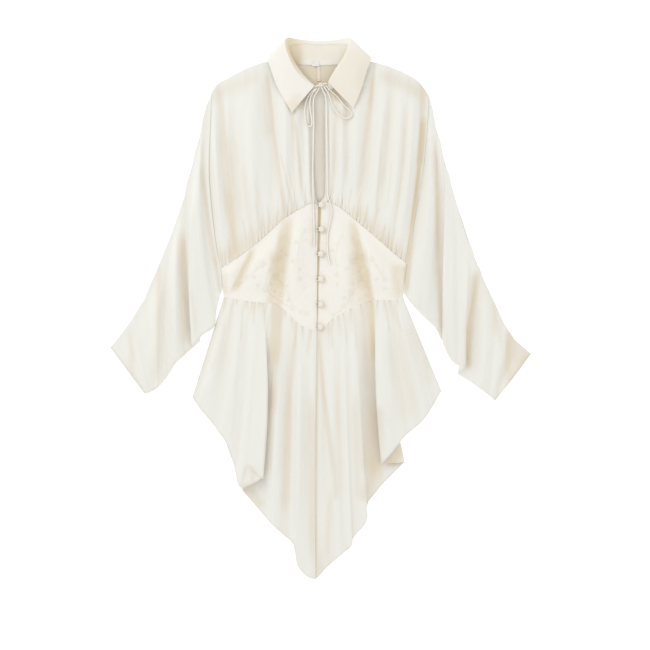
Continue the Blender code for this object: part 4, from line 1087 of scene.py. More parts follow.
class Wiring:
    """Adds nodes to a node tree, with their settings and inputs in one line each."""

    def __init__(self, tree):
        self.tree = tree

    def feed(self, socket, value):
        """Gives an input socket its value, or the output socket that feeds it."""
        if isinstance(value, bpy.types.NodeSocket):
            self.tree.links.new(value, socket)
        else:
            socket.default_value = value

    def add(self, kind, settings=None, **inputs):
        """The outputs of a new node; each input is a value, or the output socket that feeds it."""
        node = self.tree.nodes.new("ShaderNode" + kind)
        for name, value in (settings or {}).items():
            setattr(node, name, value)
        for name, value in inputs.items():
            self.feed(node.inputs[name.replace("_", " ")], value)
        return node.outputs

    def group(self, name, **inputs):
        """The outputs of a shared group, which is built once."""
        built = bpy.data.node_groups.get(name) or GROUPS[name](name)
        return self.add("Group", {"node_tree": built}, **inputs)

    def mark(self, name):
        """A mark that the cloth's points carry."""
        return self.add("Attribute", {"attribute_name": name})["Fac"]

    def math(self, operation, *values):
        """The result of one mathematical operation on values or sockets."""
        node = self.tree.nodes.new("ShaderNodeMath")
        node.operation = operation
        for socket, value in zip(node.inputs, values):
            self.feed(socket, value)
        return node.outputs[0]

    def plus(self, a, b):
        """The sum of two values or sockets."""
        return self.math("ADD", a, b)

    def minus(self, a, b):
        """The difference of two values or sockets."""
        return self.math("SUBTRACT", a, b)

    def times(self, a, b):
        """The product of two values or sockets."""
        return self.math("MULTIPLY", a, b)

    def mix(self, share, under, over, blend="MIX"):
        """One colour laid over another by a share, which is held between 0 and 1."""
        node = self.tree.nodes.new("ShaderNodeMix")
        node.data_type = "RGBA"
        node.blend_type = blend
        self.feed(node.inputs["Factor"], share)
        self.feed(node.inputs[6], under)
        self.feed(node.inputs[7], over)
        return node.outputs[2]


def node_group(name, inputs, outputs):
    """A shader node group with named sockets: its wiring, what it is given and what it makes."""
    group = bpy.data.node_groups.new(name, "ShaderNodeTree")
    for in_out, sockets in (("INPUT", inputs), ("OUTPUT", outputs)):
        for socket, kind in sockets.items():
            group.interface.new_socket(socket, in_out=in_out, socket_type="NodeSocket" + kind)
    source = group.nodes.new("NodeGroupInput")
    sink = group.nodes.new("NodeGroupOutput")
    return Wiring(group), source.outputs, sink.inputs


def weave_group(name):
    """The over-and-under of a plain weave, with the uneven crinkle of crepe yarns."""
    wire, given, made = node_group(
        name, {"Cloth": "Vector", "Pitch": "Float", "Crinkle": "Float"}, {"Height": "Float"},
    )
    place = wire.add("SeparateXYZ", Vector=given["Cloth"])
    turns = [wire.times(wire.math("DIVIDE", place[axis], given["Pitch"]), math.pi) for axis in "XY"]
    yarns = wire.times(wire.math("SINE", turns[0]), wire.math("SINE", turns[1]))
    crinkle = wire.add("TexNoise", Vector=given["Cloth"], Scale=620.0, Detail=2.0)["Fac"]
    uneven = wire.times(wire.minus(crinkle, 0.5), given["Crinkle"])
    wire.feed(made["Height"], wire.plus(yarns, uneven))
    return wire.tree


def drape_group(name):
    """Faint long wrinkles down the cloth, as a height and as a tone."""
    wire, given, made = node_group(
        name,
        {"Across Folds": "Float", "Down Folds": "Float", "Across": "Float", "Down": "Float"},
        {"Height": "Float", "Tone": "Float"},
    )
    across = wire.times(given["Across Folds"], given["Across"])
    down = wire.times(given["Down Folds"], given["Down"])
    stretched = wire.add("CombineXYZ", X=across, Y=down)["Vector"]
    noise = wire.add("TexNoise", Vector=stretched, Scale=1.0, Detail=4.0, Roughness=0.62)["Fac"]
    wire.feed(made["Height"], wire.minus(noise, 0.5))
    wire.feed(made["Tone"], noise)
    return wire.tree


def painted_shade_group(name):
    """The colour of sheer cloth with painted shade: light where it lies unshaded, warmer and deeper in
    the painted shade of its folds and where its layers gather, and darker still in a painted gap shadow.
    """
    wire, given, made = node_group(
        name,
        {"Light": "Color", "Fold": "Color", "Deep": "Color", "Gap": "Color",
         "Shade": "Float", "Tone": "Float", "Mottle": "Float"},
        {"Color": "Color"},
    )
    mottle = wire.times(wire.minus(given["Tone"], 0.5), given["Mottle"])
    share = wire.times(wire.plus(given["Shade"], mottle), 2.0)
    fold = wire.mix(share, given["Light"], given["Fold"])
    deep = wire.mix(wire.minus(share, 1.0), fold, given["Deep"])
    wire.feed(made["Color"], wire.mix(wire.minus(given["Shade"], 1.0), deep, given["Gap"]))
    return wire.tree


def stitch_group(name):
    """A mask of short stitches in a line beside an edge."""
    wire, given, made = node_group(
        name,
        {"From Edge": "Float", "Along": "Float", "Inset": "Float", "Stitch": "Float", "Thread": "Float"},
        {"Mask": "Float"},
    )
    off = wire.math("ABSOLUTE", wire.minus(given["From Edge"], given["Inset"]))
    near = wire.math("LESS_THAN", off, given["Thread"])
    part = wire.math("FRACT", wire.math("DIVIDE", given["Along"], given["Stitch"]))
    wire.feed(made["Mask"], wire.times(near, wire.math("LESS_THAN", part, STITCH_SHARE)))
    return wire.tree


GROUPS = {
    "Weave": weave_group, "Drape Streaks": drape_group,
    "Layered Cloth": painted_shade_group, "Stitch Line": stitch_group,
}

# A finish: the pitch, depth and crinkle of its weave; the depth of its wrinkles and how many there
# are to a metre across and down; how far they mottle its colour; and how it takes the light
Finish = namedtuple("Finish", "pitch depth crinkle streak across down mottle roughness sheen specular")

FINISHES = {
    "soft_crepe": Finish(0.42, 0.05, 1.2, 0.45, 62, 3.5, 0.62, 0.62, 0.25, 0.35),
    "figured_satin": Finish(0.30, 0.03, 0.8, 0.45, 110, 70, 0.5, 0.42, 0.15, 0.5),
    "collar_satin": Finish(0.30, 0.03, 0.6, 0.30, 45, 25, 0.35, 0.42, 0.15, 0.5),
    "rouleau": Finish(0.40, 0.04, 1.0, 0.10, 300, 300, 0.20, 0.55, 0.2, 0.4),
    "covered_button": Finish(0.35, 0.04, 0.8, 0.10, 300, 300, 0.25, 0.42, 0.2, 0.5),
    "label_tape": Finish(0.50, 0.05, 0.4, 0.05, 200, 200, 0.10, 0.6, 0.1, 0.35),
}


def figured(wire, cloth, light, colour, height):
    """The waist panel's motifs: their outline, their threads and the fine scrolls round them."""
    figure = wire.mark("figure")
    rim = wire.times(wire.times(figure, wire.minus(1.0, figure)), 4.0)
    curls = wire.add("TexNoise", Vector=cloth, Scale=150.0, Detail=1.5, Distortion=1.4)["Fac"]
    off_line = wire.math("ABSOLUTE", wire.minus(curls, 0.5))
    line = wire.minus(1.0, wire.math("MINIMUM", wire.times(off_line, SCROLL_SHARPNESS), 1.0))
    scrolls = wire.times(line, wire.mark("bed"))
    colour = wire.mix(wire.times(rim, OUTLINE_STRENGTH), colour, MOTIF_OUTLINE, "MULTIPLY")
    colour = wire.mix(wire.times(scrolls, SCROLL_STRENGTH), colour, light)
    bands = {"wave_type": "BANDS", "bands_direction": "DIAGONAL"}
    threads = wire.add("TexWave", bands, Vector=cloth, Scale=520.0, Distortion=6.0, Detail=1.0)["Fac"]
    height = wire.plus(height, wire.times(wire.times(threads, figure), THREAD_RISE * MM))
    return colour, wire.plus(height, wire.times(scrolls, THREAD_RISE * MM))


def rounded(wire, colour):
    """Painted shade on a tie's sides, which turn away from above and take a darker tone."""
    normal = wire.add("NewGeometry")["Normal"]
    upward = wire.add("SeparateXYZ", Vector=normal)["Z"]
    side = wire.minus(1.0, wire.math("MAXIMUM", upward, 0.0))
    return wire.mix(wire.math("POWER", side, TIE_SIDE_POWER), colour, TIE_SIDE_SHADE, "MULTIPLY")


def cloth_material(slot, light, fold, deep):
    """The material of one of the record's slots, from its finish, its own colour and two painted shade
    colours.
    """
    finish = FINISHES[slot]
    made = bpy.data.materials.new(slot + "_looks")
    made.use_nodes = True
    made.diffuse_color = light
    wire = Wiring(made.node_tree)
    cloth = wire.add("UVMap", {"uv_map": "cloth"})["UV"]
    down = wire.add("SeparateXYZ", Vector=cloth)["Y"]
    weave = wire.group("Weave", Cloth=cloth, Pitch=finish.pitch * MM, Crinkle=finish.crinkle)
    drape = wire.group("Drape Streaks", Across_Folds=wire.mark("folds"), Down_Folds=down,
                       Across=finish.across, Down=finish.down)
    stitches = wire.group("Stitch Line", From_Edge=wire.mark("hem"), Along=wire.mark("along"),
                          Inset=(HEM_WIDTH - STITCH_INSET) * MM, Stitch=STITCH * MM,
                          Thread=THREAD * MM)["Mask"]
    # The shade mark mixes in painted shade: the fold and deep colours in folds and valleys, the gap
    # colour as painted shadow in narrow gaps
    layers = wire.group("Layered Cloth", Light=light, Fold=fold, Deep=deep, Gap=GAP_SHADOW_COLOUR,
                        Shade=wire.mark("shade"), Tone=drape["Tone"], Mottle=finish.mottle)
    colour = wire.mix(wire.times(stitches, STITCH_STRENGTH), layers["Color"], STITCH_COLOUR, "MULTIPLY")
    height = wire.times(weave["Height"], finish.depth * MM)
    height = wire.plus(height, wire.times(drape["Height"], finish.streak * MM))
    height = wire.minus(height, wire.times(stitches, STITCH_DEPTH * MM))
    if slot == "figured_satin":
        colour, height = figured(wire, cloth, light, colour, height)
    if slot == "rouleau":
        colour = rounded(wire, colour)
    shader = made.node_tree.nodes["Principled BSDF"].inputs
    wire.feed(shader["Base Color"], colour)
    varied = wire.times(drape["Tone"], ROUGHNESS_SPREAD)
    wire.feed(shader["Roughness"], wire.plus(varied, finish.roughness - ROUGHNESS_SPREAD / 2))
    wire.feed(shader["Normal"], wire.add("Bump", Height=height, Distance=1.0, Strength=1.0)["Normal"])
    shader["Sheen Weight"].default_value = finish.sheen
    shader["Sheen Roughness"].default_value = SHEEN_ROUGHNESS
    shader["Specular IOR Level"].default_value = finish.specular
    return made


def sizes():
    """The shirt's sizes and colours from the sidebar."""
    return bpy.context.scene.shirt_cloth


def finish_of(slot):
    """The slot's material, made once from the colours in the sidebar."""
    given = sizes()
    ivory = (given.ivory, given.ivory_fold_shade, given.ivory_deep_shade)
    cream = (given.cream, given.cream_fold_shade, given.cream_deep_shade)
    tape = (given.tape, given.ivory_fold_shade, given.ivory_deep_shade)
    tones = {"soft_crepe": ivory, "label_tape": tape}.get(slot, cream)
    found = bpy.data.materials.get(slot + "_looks")
    return found or cloth_material(slot, *[(*tone, 1.0) for tone in tones])


def take_place(piece, node, slot):
    """Puts a finished piece in the scene in place of its CAD node."""
    bpy.context.scene.collection.objects.link(piece)
    piece.data.materials.append(finish_of(slot))
    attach(piece, BODY)
    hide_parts(node)
    return piece


def cloth_mesh(name, cloth, closed=False):
    """A smooth mesh on a cloth's grid, with its distances and marks for the materials."""
    across, down = cloth.points.shape[:2]
    index = np.arange(across * down).reshape(across, down)
    if closed:
        index = np.concatenate([index, index[:1]])
    corners = [index[:-1, :-1], index[1:, :-1], index[1:, 1:], index[:-1, 1:]]
    faces = np.stack(corners, axis=-1).reshape(-1, 4)
    if grid_normals(cloth.points)[:, :, 2].mean() < 0 and not closed:
        faces = faces[:, ::-1]
    data = bpy.data.meshes.new(name)
    data.from_pydata(cloth.points.reshape(-1, 3).tolist(), [], faces.tolist())
    cloth.folds = np.linspace(0, cloth.across[-1].mean(), across)[:, None] + np.zeros((across, down))
    for mark in ("shade", "hem", "along", "figure", "bed", "folds"):
        values = data.attributes.new(mark, "FLOAT", "POINT")
        values.data.foreach_set("value", getattr(cloth, mark).astype(np.float32).ravel())
    places = np.stack([cloth.across, cloth.down], axis=-1).reshape(-1, 2)
    uv = data.uv_layers.new(name="cloth")
    uv.data.foreach_set("uv", places[faces.reshape(-1)].astype(np.float32).ravel())
    data.shade_smooth()
    return data


def cloth_piece(node, slot, cloth, thickness=None):
    """A sheet of cloth in place of a CAD node, with an even thickness."""
    name = node + "_cloth"
    piece = take_place(bpy.data.objects.new(name, cloth_mesh(name, cloth)), node, slot)
    wall = piece.modifiers.new("wall", "SOLIDIFY")
    wall.thickness = thickness or sizes().thickness
    wall.offset = 0.0
    return piece


def gathered(cloth, node):
    """Works a piece's own gathers and creases into it."""
    for number, row in enumerate(GATHERS.get(node, [])):
        cloth.gather(row, len(node) * 31 + number)
        cloth.measure()
    for row in CREASES.get(node, []):
        cloth.crease(row)
    cloth.measure()
    return cloth


def shaded(cloth, node):
    """Marks the folds and the shaded places of a piece."""
    cloth.shade_hollows(*BROAD_SHADE)
    cloth.shade_hollows(*FINE_SHADE)
    for row in BANDS.get(node, []):
        cloth.paint_band_shade(row)
    for row in SPOTS.get(node, []):
        cloth.mark(row)
    return cloth


def edges(side):
    """The names of a front's centre edge and its outer edge."""
    return ("last", "first") if side < 0 else ("first", "last")


def open_keyhole(cloth, side):
    """Holds the front edges apart down to the waist seam, where the top button draws them in."""
    closed, widest, top = KEYHOLE_HEIGHTS
    y = cloth.plan()[1]
    spread = KEYHOLE_SPREAD_RIGHT if side < 0 else KEYHOLE_SPREAD_LEFT
    open_share = up_and_down(y, closed, widest, widest, top)
    near = cloth.near(edges(side)[0], 0, KEYHOLE_REACH)
    cloth.points[:, :, 0] += side * spread * MM * open_share * near


def close_slit(cloth, share=1.0):
    """Carries the left front's edge a little way under the right front's."""
    near = cloth.near("first", *UNDERLAP_REACH)
    cloth.points[:, :, 0] -= UNDERLAP * share * MM * near
    cloth.points[:, :, 2] -= UNDERLAP_DROP * MM * near


def bodice_front(node, folds, armhole, waist_seam, side):
    """A bodice front, with the armhole seam as its outer line."""
    shares = grid_shares(BODICE_LENGTH, ROW_PITCH)
    lines = fold_lines(folds, shares, hem_seam=waist_seam)
    corner = waist_seam[0] if side < 0 else waist_seam[-1]
    shoulder = armhole[0].y - BODICE_SHOULDER
    outer = seam_line(armhole, shoulder, corner.y, shares, side * SEAM_OVERLAP * MM)
    lines = [outer] + lines if side < 0 else lines + [outer]
    cloth = Cloth(drawn_to_seam(loft(lines, COLUMN_PITCH), shares, waist_seam, False, SEAM_FADE))
    centre, armhole_side = edges(side)
    cloth.seam_groove("hem")
    cloth.seam_groove(armhole_side)
    cloth.turned_hem(centre)
    open_keyhole(cloth, side)
    cloth.lower_edge(centre, KEYHOLE_EDGE, KEYHOLE_EDGE_REACH)
    cloth.darken(SEAM_SHADE * cloth.near("hem", *SEAM_SHADE_REACH))
    shaded(gathered(cloth, node), node)
    cloth_piece(node, "soft_crepe", cloth)


def meet_underarm(cloth, side, share):
    """Brings a sleeve and the waist panel together above the point where their side seams part."""
    x, y = cloth.plan()
    near = up_and_down(y, *UNDERARM_HEIGHTS) * (1 - step(abs(abs(x) - UNDERARM), *UNDERARM_REACH))
    cloth.points[:, :, 0] += side * share * UNDERARM_GAP * MM * near


def sleeve_front(node, folds, armhole, side):
    """A sleeve front, from the armhole seam out to the cuff."""
    shares = grid_shares(SLEEVE_LENGTH, ROW_PITCH)
    shoulder = armhole[0].y - SLEEVE_SHOULDER
    outer = seam_line(armhole, shoulder, armhole[-1].y, shares, -side * SEAM_OVERLAP * MM)
    cloth = Cloth(loft([outer] + fold_lines(folds, shares), SLEEVE_PITCH))
    cloth.seam_groove("first")
    cloth.lower_edge("top", SEAM_EDGE)
    cloth.lower_edge("hem", SEAM_EDGE)
    cloth.turned_hem("last", shade=HEM_SHADE)
    meet_underarm(cloth, side, -UNDERARM_SHARE)
    cloth.points[:, :, 2] += ARMHOLE_LIFT * MM * cloth.near("first", 0, ARMHOLE_REACH)
    cloth.measure()
    shaded(gathered(cloth, node), node)
    cloth_piece(node, "soft_crepe", cloth)


def waist_front(node, folds, top_seam, hem_seam, side):
    """A waist panel front between its two seams, with its raised flowers."""
    shares = grid_shares(WAIST_LENGTH, WAIST_ROW_PITCH)
    surface = loft(fold_lines(folds, shares, top_seam, hem_seam), COLUMN_PITCH)
    surface = drawn_to_seam(surface, shares, top_seam, True, WAIST_FADE)
    cloth = Cloth(drawn_to_seam(surface, shares, hem_seam, False, WAIST_FADE))
    centre, outer = edges(side)
    cloth.seam_groove("top", SEAM_DROP / 2)
    cloth.seam_groove("hem", SEAM_DROP / 2)
    cloth.lower_edge(outer, SEAM_EDGE)
    cloth.turned_hem(centre)
    if side > 0:
        close_slit(cloth, WAIST_UNDERLAP)
        # Painted shadow along the left front's edge, where it shows through the gap under the right
        # front's edge
        width = GAP_WIDTH - GAP_NARROWING * cloth.down / cloth.down[:, -1:]
        cloth.shade = np.maximum(cloth.shade, GAP_SHADOW_STRENGTH * cloth.near(centre, width, width + GAP_FADE))
    meet_underarm(cloth, side, UNDERARM_SHARE)
    gathered(cloth, node)
    embroider(cloth, FLOWERS[node], LEAVES[node], STEMS[node])
    cloth.measure()
    shaded(cloth, node)
    cloth_piece(node, "figured_satin", cloth)


def embroider(cloth, flowers, leaves, stems):
    """Raises flowers, leaves and stems in the cloth, and marks them for its finish."""
    x, y = cloth.plan()
    figure = np.zeros(x.shape)
    inner, outer = BED_REACH
    for motif in (*flowers, *leaves):
        around = np.hypot(x - motif.x, y - motif.y) / motif.size
        cloth.bed = np.maximum(cloth.bed, 1 - step(around, inner, outer))
    for stem in stems:
        for t in np.linspace(0, 1, 40):
            mx = (1 - t) ** 2 * stem.x0 + 2 * t * (1 - t) * stem.x1 + t * t * stem.x2
            my = (1 - t) ** 2 * stem.y0 + 2 * t * (1 - t) * stem.y1 + t * t * stem.y2
            near = 1 - step(np.hypot(x - mx, y - my), *STEM_EDGE)
            figure = np.maximum(figure, STEM_STRENGTH * near)
    depth, width = LEAF_VEIN
    for leaf in leaves:
        ahead = (x - leaf.x) * math.cos(leaf.turn) + (y - leaf.y) * math.sin(leaf.turn)
        aside = (y - leaf.y) * math.cos(leaf.turn) - (x - leaf.x) * math.sin(leaf.turn)
        half = leaf.size * LEAF_WIDTH * np.clip(1 - (ahead / leaf.size * 2) ** 2, 0, 1)
        inside = step(half - np.abs(aside), *LEAF_EDGE) * (np.abs(ahead) < leaf.size / 2)
        figure = np.maximum(figure, inside * (1 - depth * np.exp(-(aside / width) ** 2)))
    depth, width = PETAL_VEIN
    for flower in flowers:
        away = np.hypot(x - flower.x, y - flower.y)
        angle = np.arctan2(y - flower.y, x - flower.x) - flower.turn * math.tau / PETALS
        petal = np.abs(np.cos(angle * PETALS / 2))
        reach = flower.size * PETAL_REACH * (PETAL_DIP + (1 - PETAL_DIP) * np.sqrt(petal))
        inside = step(reach - away, *PETAL_EDGE)
        vein = depth * np.exp(-((petal - 1) / width) ** 2)
        heart = 1 - step(away, *[flower.size * share for share in HEART_EDGE])
        figure = np.maximum(figure, inside * (PETAL_STRENGTH - vein) + HEART_STRENGTH * heart)
    cloth.figure = np.clip(figure, 0, 1)
    cloth.measure()
    cloth.move(cloth.figure * FLOWER_RISE * MM)


def skirt_front(node, folds, top_seam, side):
    """A skirt front, from the waist seam to the handkerchief hem."""
    shares = grid_shares(SKIRT_LENGTH, ROW_PITCH)
    surface = loft(fold_lines(folds, shares, top_seam), SKIRT_PITCH)
    cloth = Cloth(drawn_to_seam(surface, shares, top_seam, True, SEAM_FADE))
    centre, outer = edges(side)
    cloth.seam_groove("top")
    cloth.lower_edge(outer, SEAM_EDGE)
    cloth.turned_hem(centre)
    cloth.turned_hem("hem", shade=HEM_SHADE)
    if side > 0:
        close_slit(cloth)
        cloth.darken(UNDERLAP_SHADE * cloth.near(centre, *UNDERLAP_SHADE_REACH))
    shaded(gathered(cloth, node), node)
    cloth_piece(node, "soft_crepe", cloth)


def even_line(points, count):
    """Points at an even distance along a line through points, in metres."""
    points = np.array(points, float)
    lengths = run_lengths(points)
    at = np.linspace(0, lengths[-1], count)
    return np.stack([np.interp(at, lengths, column) for column in points.T], axis=-1)


def between_edges(top, hem, first, last):
    """A flat surface between four edges; top and hem run across, first and last run down."""
    u = np.linspace(0, 1, BACK_COLUMNS)[:, None, None]
    v = np.linspace(0, 1, BACK_ROWS)[None, :, None]
    top, hem = [even_line(line, BACK_COLUMNS)[:, None, :] for line in (top, hem)]
    first, last = [even_line(line, BACK_ROWS)[None, :, :] for line in (first, last)]
    surface = (1 - v) * top + v * hem + (1 - u) * first + u * last
    surface -= (1 - u) * (1 - v) * top[:1] + u * (1 - v) * top[-1:]
    surface -= (1 - u) * v * hem[:1] + u * v * hem[-1:]
    return np.concatenate([surface, np.zeros((BACK_COLUMNS, BACK_ROWS, 1))], axis=2)


def back_piece(node, slot, outline, hems=()):
    """A back panel, flat where it lies on the surface, with low creases raised off it."""
    half = sizes().thickness / 2
    cloth = gathered(Cloth(between_edges(*outline)), node)
    rim = np.minimum.reduce([cloth.distance(side) for side in ("first", "last", "top", "hem")])
    relief = np.clip(cloth.points[:, :, 2], 0, BACK_RISE * MM) * step(rim / MM, *BACK_RIM)
    cloth.points[:, :, 2] = relief + half
    cloth.measure()
    for side in hems:
        cloth.turned_hem(side)
    cloth.points[:, :, 2] = np.maximum(cloth.points[:, :, 2], half)
    for row in SPOTS.get(node, []):
        cloth.mark(row)
    cloth.shade_hollows(*BACK_SHADE)
    cloth_piece(node, slot, cloth)


def seam_points(seam, along, start, end):
    """Points along a stretch of a seam, in metres."""
    return [point[:2] * MM for point in seam_at(seam, along, np.linspace(start, end, 24))]


def edge_points(folds, end, hidden=()):
    """Where the fold lines reach the outline, at their top or their hem end, in metres."""
    return [np.array([getattr(fold, end + "_x"), getattr(fold, end + "_y")]) * MM
            for fold in folds if fold.name not in hidden]


def waist_seam_points(right, left):
    """A waist seam all across the back, from the right side to the left."""
    points = seam_points(right, "x", right[0].x + 2, right[-2].x)
    return points + seam_points(left, "x", left[1].x, left[-1].x - 2)


def bodice_back():
    """The bodice's back, from the back neck down to the waist seam."""
    top = edge_points(BODICE_RIGHT[:5], "top") + [np.array(point) * MM for point in BACK_NECK]
    top += edge_points(BODICE_LEFT[8:], "top")
    hem = waist_seam_points(WAIST_SEAM_RIGHT, WAIST_SEAM_LEFT)
    first = [top[0]] + seam_points(ARMHOLE_RIGHT, "y", *BACK_ARMHOLE_RIGHT) + [hem[0]]
    last = [top[-1]] + seam_points(ARMHOLE_LEFT, "y", *BACK_ARMHOLE_LEFT) + [hem[-1]]
    back_piece("bodice_back", "soft_crepe", (top, hem, first, last))


def waist_back():
    """The waist panel's back between its two seams."""
    top = waist_seam_points(WAIST_SEAM_RIGHT, WAIST_SEAM_LEFT)
    hem = waist_seam_points(SKIRT_SEAM_RIGHT, SKIRT_SEAM_LEFT)
    back_piece("waist_back", "figured_satin", (top, hem, [top[0], hem[0]], [top[-1], hem[-1]]))


def skirt_back():
    """The skirt's back, as long as the fronts."""
    top = waist_seam_points(SKIRT_SEAM_RIGHT, SKIRT_SEAM_LEFT)
    hem = edge_points(SKIRT_RIGHT[:-1], "hem", TUCKED_AT_SKIRT_HEM)
    hem += edge_points(SKIRT_LEFT, "hem", TUCKED_AT_SKIRT_HEM)
    back_piece("skirt_back", "soft_crepe", (top, hem, [top[0], hem[0]], [top[-1], hem[-1]]), ["hem"])


def sleeve_back(node, folds, armhole):
    """A sleeve's back, with the same outline as its front."""
    start, end = armhole[0].y - SLEEVE_SHOULDER, armhole[-1].y
    top = [np.array([armhole[0].x, start]) * MM] + edge_points(folds, "top")
    hem = [np.array([armhole[-1].x, end]) * MM] + edge_points(folds, "hem", TUCKED)
    first = seam_points(armhole, "y", start, end)
    back_piece(node, "soft_crepe", (top, hem, first, [top[-1], hem[-1]]), ["last"])


def collar_rows(table):
    """A collar table's columns at an even run of places round the neck, in metres."""
    places = np.arange(len(table))
    at = np.linspace(0, len(table) - 1, COLLAR_COLUMNS)
    return np.stack([hermite(places, column, at) for column in zip(*table)], axis=-1) * MM


def stand_beside_fall():
    """The stand's neck seam and upper edge where each column of the fall rolls out of it."""
    runs = np.linspace(0, len(COLLAR_FALL) - 1, COLLAR_COLUMNS)
    at = np.interp(runs, np.arange(len(COLLAR_FALL)), STAND_PLACES)
    at *= (COLLAR_COLUMNS - 1) / (len(COLLAR_STAND) - 1)
    places = np.arange(COLLAR_COLUMNS)
    joined = np.stack([np.interp(at, places, column) for column in collar_rows(COLLAR_STAND).T], -1)
    return joined[:, 0:3], joined[:, 3:6]


def collar_fall():
    """The collar's fall: up out of the stand, over its rolled fold line and down to its points."""
    table = collar_rows(COLLAR_FALL)
    fold, swell, edge = table[:, 0:3], table[:, 3], table[:, 4:7]
    seam, top = stand_beside_fall()
    reach = np.linalg.norm(fold - top, axis=1, keepdims=True) * ROLL_REACH
    leaving, arriving = reach * unit(top - seam), reach * unit(edge - fold)
    columns = [eased(t, top, fold, leaving, arriving) for t in np.linspace(0, 1, ROLL_STEPS)[:-1]]
    for v in grid_shares(FALL_LENGTH, COLLAR_PITCH):
        point = fold + (edge - fold) * v
        point[:, 2] += swell * math.sin(math.pi * v)
        columns.append(point)
    thickness = sizes().collar_thickness
    points = np.stack(columns, axis=1)
    points[:, :, 2] = np.maximum(points[:, :, 2], thickness / 2)
    cloth = shaded(Cloth(points), "collar_fall")
    rolled = cloth.shade[:, :ROLL_STEPS]
    least, more = COLLAR_INSIDE
    inside = step(-points[:, :ROLL_STEPS, 0] / MM, *COLLAR_INSIDE_GROWS)
    rolled[:] = np.maximum(rolled, least + more * inside)
    soften_edges(cloth_piece("collar_fall", "collar_satin", cloth, thickness))


def soften_edges(piece):
    """Rounds the pressed edges of a thicker piece."""
    bevel = piece.modifiers.new("pressed edge", "BEVEL")
    bevel.width = PRESSED_EDGE * MM
    bevel.segments = 2
    bevel.angle_limit = math.radians(60)


def collar_stand():
    """The collar's stand, from the fall's inner edge down to the neck seam."""
    table = collar_rows(COLLAR_STAND)
    seam, top = table[:, 0:3], table[:, 3:6]
    shares = grid_shares(STAND_LENGTH, COLLAR_PITCH)
    cloth = Cloth(np.stack([top + (seam - top) * v for v in shares], axis=1))
    cloth.seam_groove("top", STAND_GROOVE)
    cloth.measure()
    shaded(cloth, "collar_stand")
    thickness = sizes().stand_thickness
    soften_edges(cloth_piece("collar_stand", "collar_satin", cloth, thickness))


def tape(node, row):
    """A short piece of woven tape with a little wave in it."""
    u = np.linspace(-0.5, 0.5, 15)[:, None]
    v = np.linspace(0.5, -0.5, 29)[None, :]
    x = row.centre[0] + row.width * u + 0 * v
    y = row.centre[1] + row.length * v * math.cos(row.tilt) + 0 * u
    wave = np.cos(2 * math.pi * u) * np.sin(3 * v + 1)
    z = row.centre[2] + row.length * v * math.sin(row.tilt) + row.sag * wave
    cloth = Cloth(np.stack([x, y, z], axis=-1) * MM)
    cloth.turned_hem("top", TAPE_HEM)
    cloth.turned_hem("hem", TAPE_HEM)
    cloth.shade += row.shade
    cloth_piece(node, "label_tape", cloth, TAPE_THICKNESS * MM)


def lathe(profile, sides):
    """A surface turned about the vertical axis from (radius, height) points."""
    angle = np.arange(sides) * math.tau / sides
    radius, height = np.array(profile).T
    x = np.cos(angle)[:, None] * radius
    y = np.sin(angle)[:, None] * radius
    return np.stack([x, y, np.broadcast_to(height, x.shape)], axis=-1)


def covered_button(number, row):
    """A domed button covered in cloth, drawn into small tucks under its rim."""
    base = row.rest_z + BUTTON_LIFT
    profile = [(BUTTON_RADIUS * math.sin(angle), BUTTON_RIM + BUTTON_DOME * math.cos(angle))
               for angle in np.linspace(0, math.pi / 2, 13)]
    points = lathe(profile + BUTTON_UNDERSIDE, BUTTON_SIDES)
    angle = np.arctan2(points[:, :, 1], points[:, :, 0])
    points[:, TUCK_ROWS, 2] += np.cos(angle * TUCK_COUNT)[:, TUCK_ROWS] * BUTTON_TUCKS
    points += (row.x, row.y, base)
    cloth = Cloth(points * MM)
    # Painted shade: darker towards the cloth below the dome, darker on the left side away from the key
    # light, and an even tone all over
    high, low = BUTTON_SHADE_GROWS
    cloth.shade += step(-points[:, :, 2], -(base + high), -(base + low)) * BUTTON_SHADE
    cloth.shade += BUTTON_TONE + BUTTON_SIDE_SHADE * step(points[:, :, 0] - row.x, *BUTTON_SIDE_GROWS)
    name = f"button_{number}_cover"
    piece = bpy.data.objects.new(name, cloth_mesh(name, cloth, closed=True))
    take_place(piece, f"button_{number}", "covered_button")


def cord_curve(name, strands, radius):
    """A round cord through each list of points, in metres."""
    data = bpy.data.curves.new(name, "CURVE")
    data.dimensions = "3D"
    data.bevel_depth = radius
    data.bevel_resolution = 4
    data.resolution_u = 8
    data.use_fill_caps = True
    for points in strands:
        spline = data.splines.new("BEZIER")
        spline.bezier_points.add(len(points) - 1)
        for knot, point in zip(spline.bezier_points, points):
            knot.co = point
            knot.handle_left_type = "AUTO"
            knot.handle_right_type = "AUTO"
    return bpy.data.objects.new(name, data)


def button_loop(number, row):
    """A rouleau loop from the right front's edge, round the button's shank and back."""
    z = row.rest_z + LOOP_RISE
    points = [(x, row.y + y, z + rise) for x, y, rise in LOOP_LEG]
    for angle in np.linspace(math.pi / 2, -math.pi / 2, 7):
        points.append((row.x + LOOP_BEND * math.cos(angle), row.y + LOOP_BEND * math.sin(angle), z))
    points += [(x, row.y - y, z + rise) for x, y, rise in reversed(LOOP_LEG)]
    loop = cord_curve(f"button_loop_{number}_rouleau", [np.array(points) * MM], LOOP_TUBE * MM)
    take_place(loop, f"button_loop_{number}", "rouleau")


def tie(name, route):
    """One free strand of the bow, as the photograph shows it from end to end."""
    diameter = sizes().tie_diameter
    points = np.array(route, float) * MM
    strand = take_place(cord_curve(name + "_rouleau", [points], diameter / 2), name, "rouleau")


